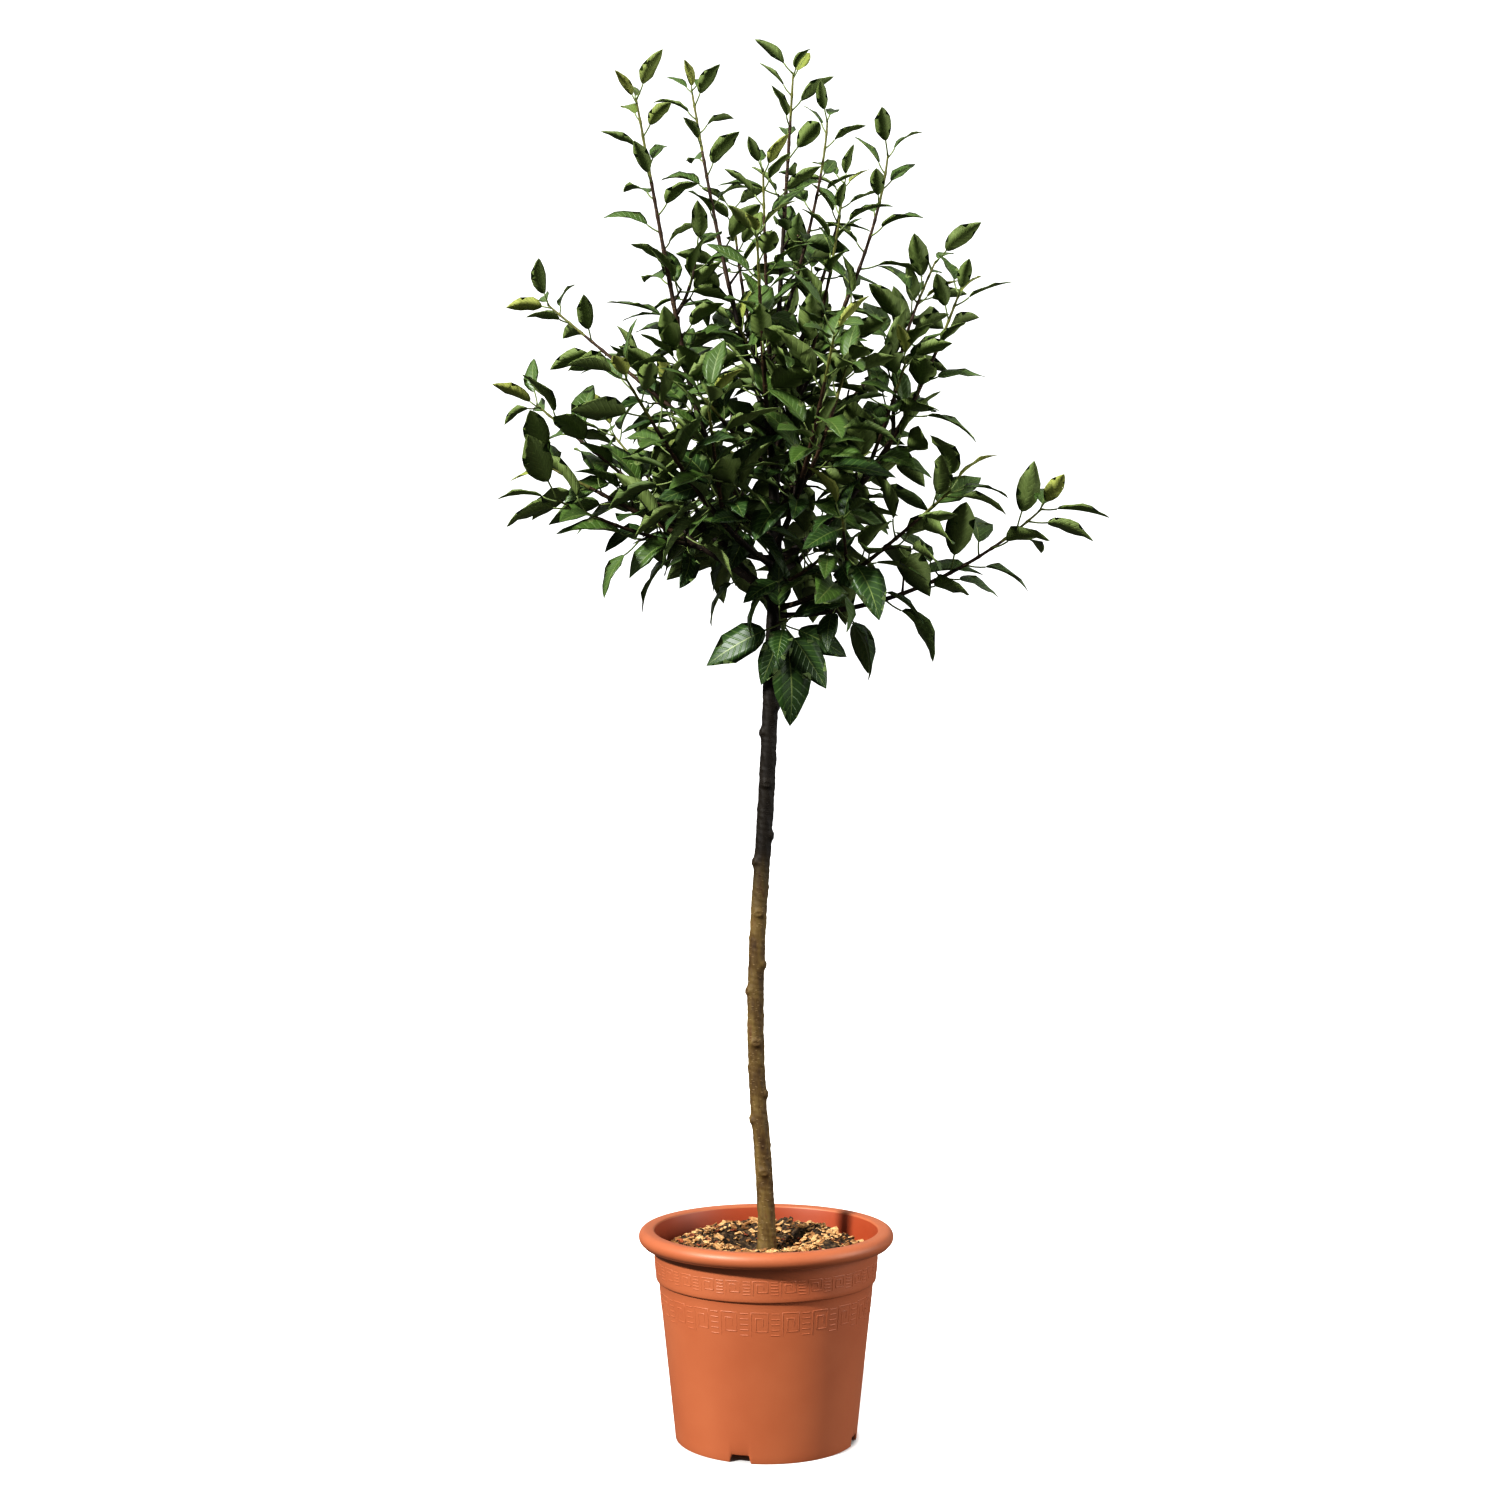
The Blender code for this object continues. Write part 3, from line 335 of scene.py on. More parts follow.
key_shapes = [shape for row in key_rows for shape in key_row(*row)]
key_points, key_faces = barred(key_shapes)
pattern = piece("pot_key_pattern", key_points, key_faces, [terracotta], sharp=60)
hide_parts("pot")


# The pot is filled to about 30 mm below its lip with moist bark compost, heaped by hand and
# washed lower beside the stem. Its surface is crumbly, dark between the chips.
soil_edge = 0.1290
soil_level = 0.2180
soil_floor = floor_lift + wall + 0.0006
soil_sides = np.array([(foot_radius - wall - 0.001, soil_floor), (0.1250, 0.195)])
heap, heap_place, heap_spread, heap_rear = 0.0165, 0.58, 0.24, (0.95, 0.40)
hollow_place = (-0.026, 0.022)
hollow_depth, hollow_spread = 0.0110, 0.020
edge_fall, edge_from, edge_span = 0.0050, 0.82, 0.18
# Height, wavelength, number of waves and seed
soil_waves, wave_spread = ((0.0015, 0.030, 14, 3), (0.0008, 0.009, 18, 4)), (0.6, 0.9)
soil_rings, soil_columns = 70, 240


def drawn(pair, share):
    """The pair's first value plus this share of its second."""
    return pair[0] + pair[1] * share


def waves(x, y, wavelength, count, seed):
    """A smooth uneven surface of about unit height: a sum of seeded plane waves of like wavelength."""
    rng = np.random.default_rng(seed)
    heading = rng.random(count) * 2 * math.pi
    number = 2 * math.pi / (wavelength * drawn(wave_spread, rng.random(count)))
    phase = rng.random(count) * 2 * math.pi
    total = 0
    for a, k, p in zip(heading, number, phase):
        total = total + np.sin(k * (x * math.cos(a) + y * math.sin(a)) + p)
    return total / math.sqrt(count / 2)


def soil_height(x, y):
    """Level, plus a ring-shaped heap, less a hollow by the stem and a fall to the wall, plus crumbs."""
    reach = np.hypot(x, y) / soil_edge
    ring = heap * np.exp(-(((reach - heap_place) / heap_spread) ** 2))
    ring = ring * (heap_rear[0] + heap_rear[1] * y / soil_edge)
    off = np.hypot(x - hollow_place[0], y - hollow_place[1])
    dip = hollow_depth * np.exp(-((off / hollow_spread) ** 2))
    fall = edge_fall * np.clip((reach - edge_from) / edge_span, 0, 1)
    rough = sum(share * waves(x, y, *rest) for share, *rest in soil_waves)
    return soil_level + ring - dip - fall + rough


soil_share = np.linspace(0, 1, soil_rings + 1)[1:, None]
soil_angle = np.linspace(0, 2 * math.pi, soil_columns, endpoint=False)
soil_x = soil_edge * soil_share * np.cos(soil_angle)
soil_y = soil_edge * soil_share * np.sin(soil_angle)
top_rings = np.stack([soil_x, soil_y, soil_height(soil_x, soil_y)], -1)[::-1]
side_rings = around(soil_sides[:, :1], soil_angle, soil_sides[:, 1:])
soil_middle = [(0, 0, soil_floor), (0, 0, float(soil_height(0.0, 0.0)))]
soil_points = np.vstack([side_rings.reshape(-1, 3), top_rings.reshape(-1, 3), soil_middle])

# Wet bark compost is dull and nearly black in its hollows, with brown fibre on top.
compost, shader = finish("moist_bark_compost", "#3A2A1E", 0.9)
compost_stops = ((0.33, "#1C140C"), (0.50, "#3C2E1E"), (0.68, "#685236"))
crumbs = mottled(compost, shader, 260.0, 5.0, compost_stops)
relief = node(compost, "Bump", {"Strength": 0.9, "Distance": 0.0012}, {"Height": (crumbs, "Fac")})
join(relief, "Normal", shader, "Normal")

soil = piece("soil_bed", soil_points, ring_faces(soil_rings + 2, soil_columns), [compost])
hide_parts("soil")


# Chips of chopped bark and wood lie loose on the compost, most of them pale straw, some tan
# and reddish, among dark crumbs. They are flat splinters of 2 to 12 mm, tipped every way.

# Name, light and dark colour, count, lengths, thickness as a share of the width, seed
chip_kinds = (
    ("bark_chips_straw", "#CCA878", "#A27C50", 640, (0.0052, 0.0124), 0.32, 21),
    ("bark_chips_tan", "#9C7044", "#70502E", 480, (0.0048, 0.0116), 0.34, 22),
    ("bark_chips_red", "#94502E", "#66341E", 140, (0.0046, 0.0100), 0.36, 23),
    ("compost_crumbs", "#48341F", "#2A1E14", 800, (0.0022, 0.0060), 0.70, 24),
)
chip_reach, chip_clear, hollow_share = 0.124, 0.0165, 0.15
length_power, width_shares, corner_draw, chip_tip, chip_lift = 1.6, (0.45, 0.40), 0.35, 1.1, 0.25
box_square = ((-0.5, -0.5), (0.5, -0.5), (0.5, 0.5), (-0.5, 0.5))
box_corners = np.array([(x, y, z) for z in (-0.5, 0.5) for x, y in box_square])
box_faces = np.array([(3, 2, 1, 0), (4, 5, 6, 7), (0, 1, 5, 4), (1, 2, 6, 5), (2, 3, 7, 6), (3, 0, 4, 7)])


def chips(count, sizes, thickness, seed):
    """Flat blocks with uneven corners: corner = place + turn (corner shares times sizes plus a draw)."""
    rng = np.random.default_rng(seed)
    spread = np.sqrt(rng.random(count * 2)) * chip_reach
    angle = rng.random(count * 2) * 2 * math.pi
    x, y = spread * np.cos(angle), spread * np.sin(angle)
    in_hollow = np.hypot(x - hollow_place[0], y - hollow_place[1]) < hollow_spread
    kept = (np.hypot(x, y) > chip_clear) & (~in_hollow | (rng.random(count * 2) < hollow_share))
    x, y = x[kept][:count], y[kept][:count]
    number = len(x)
    length = sizes[0] + (sizes[1] - sizes[0]) * rng.random(number) ** length_power
    width = length * drawn(width_shares, rng.random(number))
    size = np.stack([length, width, thickness * width], 1)[:, None]
    corners = box_corners * (1 - corner_draw * rng.random((number, 8, 3))) * size
    turns = np.array([[2 * math.pi], [chip_tip], [chip_tip]])
    yaw, pitch, roll = (rng.random((3, number)) - 0.5) * turns
    cy, sy, cp, sp, cr, sr = (f(a) for a in (yaw, pitch, roll) for f in (np.cos, np.sin))
    rows = [
        [cy * cp, cy * sp * sr - sy * cr, cy * sp * cr + sy * sr],
        [sy * cp, sy * sp * sr + cy * cr, sy * sp * cr - cy * sr],
        [-sp, cp * sr, cp * cr],
    ]
    turn = np.array(rows).transpose(2, 0, 1)
    middle = np.stack([x, y, soil_height(x, y) + chip_lift * width * rng.random(number)], 1)
    points = np.einsum("nij,nkj->nki", turn, corners) + middle[:, None]
    return points, [copied(box_faces, 8, number)]


for name, light_code, dark_code, count, sizes, thickness, seed in chip_kinds:
    # Chopped bark is matt, with a fibre grain that shows as fine streaks of two tones.
    bark_chip, shader = finish(name, light_code, 0.85)
    mottled(bark_chip, shader, 220.0, 3.0, ((0.40, dark_code), (0.60, light_code)))
    made = piece(name, *chips(count, sizes, thickness, seed), [bark_chip], sharp=30)
    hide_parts("soil")


# The trunk is a clear young stem with smooth bark, grown from the foot in one lean double bend.
# Side shoots were rubbed off as it grew, and each left a ringed knot with a small scar.

# Height, how far right of the pot's axis, radius
trunk_line = np.array(
    [
        (0.214, 0.0005, 0.0135),
        (0.232, 0.0010, 0.0112),
        (0.260, 0.0004, 0.0103),
        (0.340, -0.0045, 0.0100),
        (0.400, -0.0095, 0.0099),
        (0.500, -0.0125, 0.0098),
        (0.600, -0.0095, 0.0095),
        (0.760, 0.0005, 0.0096),
        (0.900, 0.0062, 0.0090),
        (1.040, 0.0110, 0.0078),
        (1.160, 0.0085, 0.0052),
        (1.289, 0.0140, 0.0034),
    ]
)
knot_count, knot_first, knot_gap = 20, 0.311, 0.0305
knot_heading, knot_turn = 270.0, 144.0
knot_stand, knot_rise, knot_wide, knot_size = 0.0032, 0.0012, 1.25, 0.0047
scar_depth, scar_size = 0.50, 0.0018
scar_lip, scar_lip_reach, scar_lip_size = 0.16, 0.0036, 0.0010
bark_turns, bark_lengths, bark_rough = (1, 9), (0.006, 0.050), 0.00022
trunk_rings, trunk_sides, ring_power = 900, 60, 1.1


def trunk_at(height):
    """Centre and radius at heights: a cubic through the four nearest stations, and even taper."""
    places, sideways, radii = trunk_line.T
    height = np.asarray(height, float)
    k = np.clip(np.searchsorted(places, height) - 1, 0, len(places) - 2)
    low, high = np.maximum(k - 1, 0), np.minimum(k + 2, len(places) - 1)
    span = places[k + 1] - places[k]
    t = (height - places[k]) / span
    slope_a = (sideways[k + 1] - sideways[low]) / (places[k + 1] - places[low]) * span
    slope_b = (sideways[high] - sideways[k]) / (places[high] - places[k]) * span
    x = sideways[k] * (1 + 2 * t) * (1 - t) ** 2 + slope_a * t * (1 - t) ** 2
    x = x + sideways[k + 1] * t * t * (3 - 2 * t) + slope_b * t * t * (t - 1)
    return np.stack([x, 0 * x, height], -1), np.interp(height, places, radii)


def knots(angle, height, radius):
    """Height of the knots over the bark: each a bell with a ringed, dented scar at its middle."""
    middle = knot_first + knot_gap * np.arange(knot_count)
    heading = np.radians(knot_heading + knot_turn * np.arange(knot_count))
    total = np.zeros(np.broadcast(angle, height).shape)
    for z, a in zip(middle, heading):
        across = ((angle - a + math.pi) % (2 * math.pi) - math.pi) * radius
        off = np.hypot(across / knot_wide, height - z - knot_rise)
        bell = np.exp(-((off / knot_size) ** 2))
        scar = scar_depth * np.exp(-((off / scar_size) ** 2))
        lip = scar_lip * np.exp(-(((off - scar_lip_reach) / scar_lip_size) ** 2))
        total = np.maximum(total, knot_stand * (bell - scar + lip))
    return total


def bark_waves(angle, along, seed, count=26):
    """Unit unevenness that closes round a limb: seeded waves with a whole number of turns about it."""
    rng = np.random.default_rng(seed)
    turns = rng.integers(*bark_turns, count)
    number = 2 * math.pi / drawn(bark_lengths, rng.random(count))
    phase = rng.random(count) * 2 * math.pi
    total = 0
    for m, k, p in zip(turns, number, phase):
        total = total + np.sin(m * angle + k * along + p)
    return total / math.sqrt(count / 2)


trunk_share = np.linspace(0, 1, trunk_rings) ** ring_power
trunk_height = trunk_line[0, 0] + trunk_share * (trunk_line[-1, 0] - trunk_line[0, 0])
trunk_angle = np.linspace(0, 2 * math.pi, trunk_sides, endpoint=False)
trunk_centre, trunk_radius = trunk_at(trunk_height)
girth = trunk_radius[:, None] + knots(trunk_angle, trunk_height[:, None], trunk_radius[:, None])
girth = girth + bark_rough * bark_waves(trunk_angle, trunk_height[:, None], 5)
trunk_rows = around(girth, trunk_angle, 0 * girth) + trunk_centre[:, None]
trunk_points = np.vstack([trunk_rows.reshape(-1, 3), trunk_centre[:1], trunk_centre[-1:]])


pore_colour, pore_scale, pore_edge, pore_share = "#A8906A", 130.0, (0.16, 0.24), 0.35
# Painted shadow: above 0.605 m the stem's bark fades to near black by 0.695 m, standing in for the crown's
# shade.
painted_crown_shadow, dark_from, dark_whole = "#0D0906", 0.605, 0.695


def bark(name, stops, streak, bump, dark=0.0):
    """Smooth young bark: a thin skin over green wood, mottled, with pale pores drawn crosswise.

    Dark is how far the bark's upper part takes a painted near-black shadow, the crown's shade on the stem.
    """
    material, shader = finish(name, stops[0][1], 0.66, 1.38)
    place = node(material, "TexCoord")
    long = node(material, "Mapping", {"Scale": (1.0, 1.0, 0.35)}, {"Vector": (place, "Object")})
    streaks = {"Scale": streak, "Detail": 6.0, "Roughness": 0.62}
    mottle = node(material, "TexNoise", streaks, {"Vector": (long, 0)})
    tint = node(material, "ValToRGB", links={"Fac": (mottle, "Fac")}, stops=stops)
    flat = node(material, "Mapping", {"Scale": (1.0, 1.0, 3.0)}, {"Vector": (place, "Object")})
    pores = node(material, "TexVoronoi", {"Scale": pore_scale}, {"Vector": (flat, 0)})
    edges = {1: pore_edge[0], 2: pore_edge[1], 3: 1.0, 4: 0.0}
    spots = node(material, "MapRange", edges, {"Value": (pores, "Distance")})
    few = node(material, "Math", {"operation": "MULTIPLY", 1: pore_share}, {0: (spots, 0)})
    pale = {"data_type": "RGBA", 7: (*linear(pore_colour), 1)}
    blend = node(material, "Mix", pale, {0: (few, 0), 6: (tint, "Color")})
    # The painted crown shadow: a near-black colour mixed over the bark by height.
    parts = node(material, "SeparateXYZ", links={0: (place, "Object")})
    heights = {1: dark_from, 2: dark_whole, 3: 0.0, 4: dark}
    high = node(material, "MapRange", heights, {"Value": (parts, "Z")})
    skin = {"data_type": "RGBA", 7: (*linear(painted_crown_shadow), 1)}
    crown_shaded = node(material, "Mix", skin, {0: (high, 0), 6: (blend, 2)})
    join(crown_shaded, 2, shader, "Base Color")
    raised = node(material, "Math", {"operation": "ADD"}, {0: (mottle, "Fac"), 1: (spots, 0)})
    relief = node(material, "Bump", {"Strength": 0.6, "Distance": bump}, {"Height": (raised, 0)})
    join(relief, "Normal", shader, "Normal")
    return material


stem_stops = ((0.30, "#3C2A18"), (0.46, "#584526"), (0.60, "#6C5A34"), (0.74, "#563620"))
# The stem takes the painted crown shadow almost fully, at 0.94.
stem_bark = bark("stem_bark", stem_stops, 70.0, 0.0006, 0.94)

trunk = piece("trunk_bark", trunk_points, ring_faces(trunk_rings, trunk_sides), [stem_bark])
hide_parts("trunk")


# The limbs spring from the head of the stem in the last two years' growth, low ones flat and
# long, high ones steep. Forks and spurs leave them, with buds two fifths of a turn apart.

# Name, height on the trunk, heading, lean at the foot and the tip, how fast the lean eases,
# length, radius at the foot, share that is bare before the leaves
limbs = (
    ("left_low", 0.987, 182, 46, 63, 4.0, 0.310, 0.0050, 0.30),
    ("left_high", 1.092, 200, 88, 11, 7.0, 0.520, 0.0040, 0.17),
    ("left_rear", 1.035, 142, 84, 44, 2.5, 0.320, 0.0042, 0.26),
    ("right_high", 1.031, 350, 59, 21, 1.7, 0.385, 0.0045, 0.28),
    ("right_mid", 0.977, 330, 86, 54, 3.0, 0.262, 0.0036, 0.20),
    ("right_low", 0.969, 5, 90, 48, 1.1, 0.356, 0.0034, 0.14),
    ("front_left", 1.026, 234, 77, 48, 2.0, 0.332, 0.0040, 0.22),
    ("front_right", 1.052, 284, 76, 40, 2.0, 0.320, 0.0040, 0.20),
    ("front_mid", 1.128, 264, 62, 28, 2.0, 0.310, 0.0034, 0.18),
    ("rear_left", 0.996, 114, 74, 45, 2.0, 0.352, 0.0040, 0.22),
    ("rear_right", 1.020, 70, 82, 50, 2.0, 0.345, 0.0042, 0.22),
    ("rear_mid", 1.095, 86, 62, 28, 2.0, 0.350, 0.0036, 0.18),
    ("top_left", 1.176, 150, 22, 11, 2.0, 0.450, 0.0034, 0.0),
    ("top_right", 1.224, 40, 30, 8, 0.6, 0.302, 0.0028, 0.0),
    ("side_right", 1.179, 335, 37, 4, 0.6, 0.350, 0.0030, 0.0),
    ("top_front", 1.196, 262, 36, 10, 1.6, 0.290, 0.0028, 0.0),
    ("side_front", 1.160, 306, 44, 16, 1.6, 0.285, 0.0028, 0.0),
    ("top_rear", 1.212, 118, 38, 12, 1.6, 0.290, 0.0028, 0.0),
    ("side_rear", 1.150, 22, 60, 32, 1.6, 0.290, 0.0028, 0.0),
    ("crown_tip", 1.289, 120, -2, -7, 8.0, 0.312, 0.0030, 0.0),
)
# Limb, share of its length, heading, lean at the foot and the tip, ease, length
forks = (
    ("left_low", 0.36, 204, 88, 70, 1.8, 0.180),
    ("left_low", 0.38, 165, 31, 51, 8.0, 0.262),
    ("left_high", 0.25, 160, 53, 50, 8.0, 0.262),
    ("left_high", 0.52, 25, 38, 10, 2.0, 0.085),
    ("left_rear", 0.36, 120, 40, 22, 2.0, 0.200),
    ("right_high", 0.53, 30, -5, 27, 1.8, 0.224),
    ("right_high", 0.36, 318, 30, 24, 2.0, 0.150),
    ("right_mid", 0.40, 262, 60, 48, 2.0, 0.095),
    ("front_left", 0.32, 262, 60, 40, 2.0, 0.170),
    ("front_right", 0.34, 308, 48, 26, 2.0, 0.155),
    ("rear_left", 0.36, 84, 52, 30, 2.0, 0.180),
    ("rear_right", 0.36, 44, 46, 24, 2.0, 0.140),
    ("rear_mid", 0.40, 60, 40, 18, 2.0, 0.150),
    ("crown_tip", 0.03, 340, 20, -2, 0.4, 0.258),
)
# Name, height on the trunk, heading, lean, length
heart_shoots = (
    ("heart_low", 1.004, 309, 84, 0.095),
    ("heart_left", 1.070, 214, 62, 0.100),
    ("heart_front", 1.088, 300, 64, 0.095),
    ("heart_rear", 1.062, 128, 66, 0.105),
    ("heart_right", 1.108, 8, 62, 0.100),
    ("heart_high", 1.140, 212, 60, 0.115),
    ("heart_deep", 1.240, 222, 52, 0.080),
)
# The lowest spur, and its fan of leaves, most of them hanging: heading, lean, blade
skirt_height, skirt_heading, skirt_lean, skirt_length = 0.956, 300, 82, 0.032
skirt_fan = (
    (186, 114, 0.082),
    (226, 152, 0.062),
    (262, 124, 0.056),
    (306, 164, 0.094),
    (330, 140, 0.072),
    (352, 112, 0.066),
    (262, 10, 0.062),
    (340, 64, 0.062),
)
skirt_face = np.array([0.0, -0.8, 0.6])
skirt_radii, skirt_roll, skirt_droop, skirt_fold = (0.0026, 0.0020), 40, (22, 20), 16
skirt_room = 0.0045
growth_seed = 20
# Buds along a stem, the spurs among them, and how stems taper
bud_gap_low, bud_gap_tip, bud_turn, first_bud, last_bud = 0.0245, 0.0165, 144.0, 0.014, 0.010
spur_share, spur_lengths, spur_leaves, tip_leaves = 0.52, (0.012, 0.030), 3, 3
stem_tip, spur_radius, root_back, root_step = 0.0011, 0.0014, 0.0011, 0.0027
taper_power, path_step, wood_step = 0.85, 0.004, 0.005
# Where the crown's heart gets its finer twigs
inner_step, inner_reach, inner_low, inner_high = 0.009, 0.125, 1.06, 1.30
# The room that leaves keep, their sizes, how far they hang, and how much each draw changes
leaf_room, limb_room, leaf_tries, try_turn = 0.0108, 0.0062, 4, 26.0
blade_high, blade_low, size_top, size_span, young_shrink = 0.051, 0.076, 1.46, 0.46, 0.50
hang_top, hang_span, hang_reach, hang_pull = 1.14, 0.14, 0.20, 1.3
lowest_way, size_draw, stalk_draw = (0.10, 1.6), (0.82, 0.32), (0.8, 0.4)
lean_draw, droop_draw, droop_hang, fold_draw = 16, (18, 34), 14, (22, 18)
outward, roll_draw, stalk_length = 0.35, 44.0, 0.34
blade_width, margin_share = 0.51, 0.36
# Feelers on a leaf: five along its midrib and two pairs near its margins
feeler_share = np.array([0.08, 0.3, 0.52, 0.76, 1.0, 0.36, 0.36, 0.66, 0.66])[:, None]
feeler_hand = np.array([0, 0, 0, 0, 0, -1, 1, -1, 1])[:, None]
# How spurs, side leaves, tip tufts and side shoots are set
spur_axis, spur_lift, spur_room = 0.5, 0.55, 0.0070
spur_roll, spur_spread, spur_young, spur_tip = 40, (52, 24), 0.12, 0.9
spur_aside, limb_aside = np.array([0.3, 0.2, 1.0]), np.array([0.2, 0.1, 1.0])
young_from, young_span, young_most, side_spread = 0.62, 0.38, 0.3, (58, -20)
tuft_roll, tuft_turn, tuft_spread, tuft_young = 75, 120, (42, -6), (0.25, 0.15)
fork_share, fork_most, heart_radii, heart_ease = 0.85, 0.0026, (0.0024, 0.0016), 0.7


def unit(vector):
    return vector / np.linalg.norm(vector)


def turned(vector, axis, degrees):
    """The vector turned about a unit axis."""
    angle = math.radians(degrees)
    swung = vector * math.cos(angle) + np.cross(axis, vector) * math.sin(angle)
    return swung + axis * (axis @ vector) * (1 - math.cos(angle))


def limb_path(start, heading, lean_foot, lean_tip, ease, length):
    """Points 4 mm apart along a limb whose lean eases from its foot to its tip."""
    steps = max(4, round(length / path_step))
    share = (np.arange(steps) + 0.5) / steps
    lean = np.radians(lean_tip + (lean_foot - lean_tip) * (1 - share) ** ease)
    turn = math.radians(heading)
    way = np.stack([np.sin(lean) * math.cos(turn), np.sin(lean) * math.sin(turn), np.cos(lean)], 1)
    return np.vstack([start, start + np.cumsum(way, 0) * length / steps])


class Stem:
    """A tapering woody axis: its points, its length, its radius along them and its buds."""

    def __init__(self, points, radius, tip_radius=stem_tip, kind="shoot"):
        self.points = np.asarray(points, float)
        self.along = np.r_[0, np.cumsum(np.linalg.norm(np.diff(self.points, axis=0), axis=1))]
        self.length = self.along[-1]
        self.radii = tip_radius + (radius - tip_radius) * (1 - self.along / self.length) ** taper_power
        self.kind = kind
        self.buds = []

    def at(self, distance):
        """Point, direction and radius at a distance from the foot."""
        point = np.array([np.interp(distance, self.along, c) for c in self.points.T])
        k = int(np.clip(np.searchsorted(self.along, distance), 1, len(self.points) - 1))
        way = unit(self.points[k] - self.points[k - 1])
        return point, way, float(np.interp(distance, self.along, self.radii))


class Room:
    """Points that are already taken, so that a leaf can keep its distance from them."""

    def __init__(self):
        self.points = np.empty((0, 3))

    def free(self, points, room):
        if not len(self.points):
            return True
        return np.linalg.norm(self.points[None] - points[:, None], axis=2).min() > room


crowd, wood = Room(), Room()
stems, leaves = [], []


def spine_of(root, way, up, blade, stalk, droop, share):
    """Points, directions and upper sides on midribs: an arc of the droop's angle from the stalk's end."""
    bend = droop * share
    ahead = way * np.cos(bend) - up * np.sin(bend)
    chord = blade / droop * (way * np.sin(bend) - up * (1 - np.cos(bend)))
    side = np.cross(way, up)
    return root + way * stalk + chord, ahead, np.cross(side, ahead)


def keep_leaf(root, way, up, blade, stalk, droop, fold, young, spray, room=leaf_room):
    """Keeps a leaf if the feelers on its midrib and margins have room."""
    way = unit(way)
    up = unit(up - way * (up @ way))
    hand = feeler_hand * margin_share * blade_width * blade
    points, ahead, above = spine_of(root, way, up, blade, stalk, math.radians(droop), feeler_share)
    out = np.cross(ahead, above)
    angle = math.radians(fold)
    points = points + hand * out * math.cos(angle) + abs(hand) * above * math.sin(angle)
    if not (crowd.free(points, room) and wood.free(points, limb_room)):
        return False
    crowd.points = np.vstack([crowd.points, points])
    leaves.append((root, way, up, blade, stalk, math.radians(droop), angle, young, spray))
    return True


def set_leaf(root, axis, side, spread, young, draws, spray):
    """Sets one leaf, turning it about its stem until it has room, or leaves it out."""
    low = np.clip((size_top - root[2]) / size_span, 0, 1)
    size = (blade_high + (blade_low - blade_high) * low) * (1 - young_shrink * young)
    size = size * drawn(size_draw, draws[0])
    stalk = stalk_length * size * drawn(stalk_draw, draws[1])
    lean = math.radians(spread + lean_draw * (draws[2] - 0.5))
    low = np.clip((hang_top - root[2]) / hang_span, 0, 1)
    fall = float(low * np.clip(1 - math.hypot(root[0], root[1]) / hang_reach, 0, 1))
    droop = drawn(droop_draw, draws[3]) + droop_hang * fall
    fold = drawn(fold_draw, draws[5])
    for attempt in range(leaf_tries):
        out = turned(side, axis, attempt * try_turn * (-1) ** attempt)
        way = axis * math.cos(lean) + out * math.sin(lean) - np.array([0, 0, hang_pull * fall])
        way[2] = max(way[2], -lowest_way[0] - lowest_way[1] * fall)
        way = unit(way)
        up = np.array([0, 0, 1.0]) - outward * out * (1 - fall)
        up = turned(unit(up - way * (up @ way)), way, 2 * roll_draw * (draws[4] - 0.5))
        if keep_leaf(root, way, up, size, stalk, droop, fold, young, spray):
            return


def set_spur(root, axis, side, draws, rng, spray):
    """A short twig with a whorl of leaves at its end, as apple bears on last year's wood."""
    length = spur_lengths[0] + (spur_lengths[1] - spur_lengths[0]) * draws[0]
    bent = unit(spur_axis * axis + side + np.array([0, 0, spur_lift]))
    points = np.array([root, root + bent * length])
    fresh = rng.random((spur_leaves, 6))
    if not wood.free(points[1:], spur_room):
        return
    stems.append(Stem(points, spur_radius, spur_radius * spur_tip, "spur"))
    start = np.cross(bent, unit(spur_aside))
    for i in range(spur_leaves):
        out = turned(unit(start), bent, i * bud_turn + spur_roll * draws[1])
        bud = points[-1] - bent * (root_back + i * root_step)
        set_leaf(bud, bent, out, drawn(spur_spread, i % 2), spur_young, fresh[i], spray)


def clothe(stem, foot, length, start_at, rng, spray):
    """Sets buds along the leafy part of a stem: spurs low down, single leaves above, and a tip tuft."""
    middle = stem.at(foot + length / 2)[1]
    start = unit(np.cross(middle, limb_aside))
    roll = 360 * rng.random()
    at, bud = start_at + first_bud, 0
    while at < length - last_bud:
        share = at / length
        draws = rng.random(6)
        root, axis, _ = stem.at(foot + at)
        side = turned(start, axis, roll + bud * bud_turn)
        side = unit(side - axis * (side @ axis))
        stem.buds.append(foot + at)
        if share < spur_share and bud % 2 == 0:
            set_spur(root, axis, side, draws, rng, spray)
        else:
            young = max(0.0, (share - young_from) / young_span)
            set_leaf(root, axis, side, drawn(side_spread, young), young_most * young, draws, spray)
        at += bud_gap_low + (bud_gap_tip - bud_gap_low) * share
        bud += 1
    root, axis, _ = stem.at(foot + length)
    for i in range(tip_leaves):
        side = turned(start, axis, roll + tuft_roll + i * tuft_turn)
        side = unit(side - axis * (side @ axis))
        bud_point = root - axis * (root_back + i * root_step)
        spread, young = drawn(tuft_spread, i), drawn(tuft_young, i)
        set_leaf(bud_point, axis, side, spread, young, rng.random(6), spray)


wood_height = np.arange(trunk_line[0, 0], trunk_line[-1, 0], wood_step)
wood.points = trunk_at(wood_height)[0]

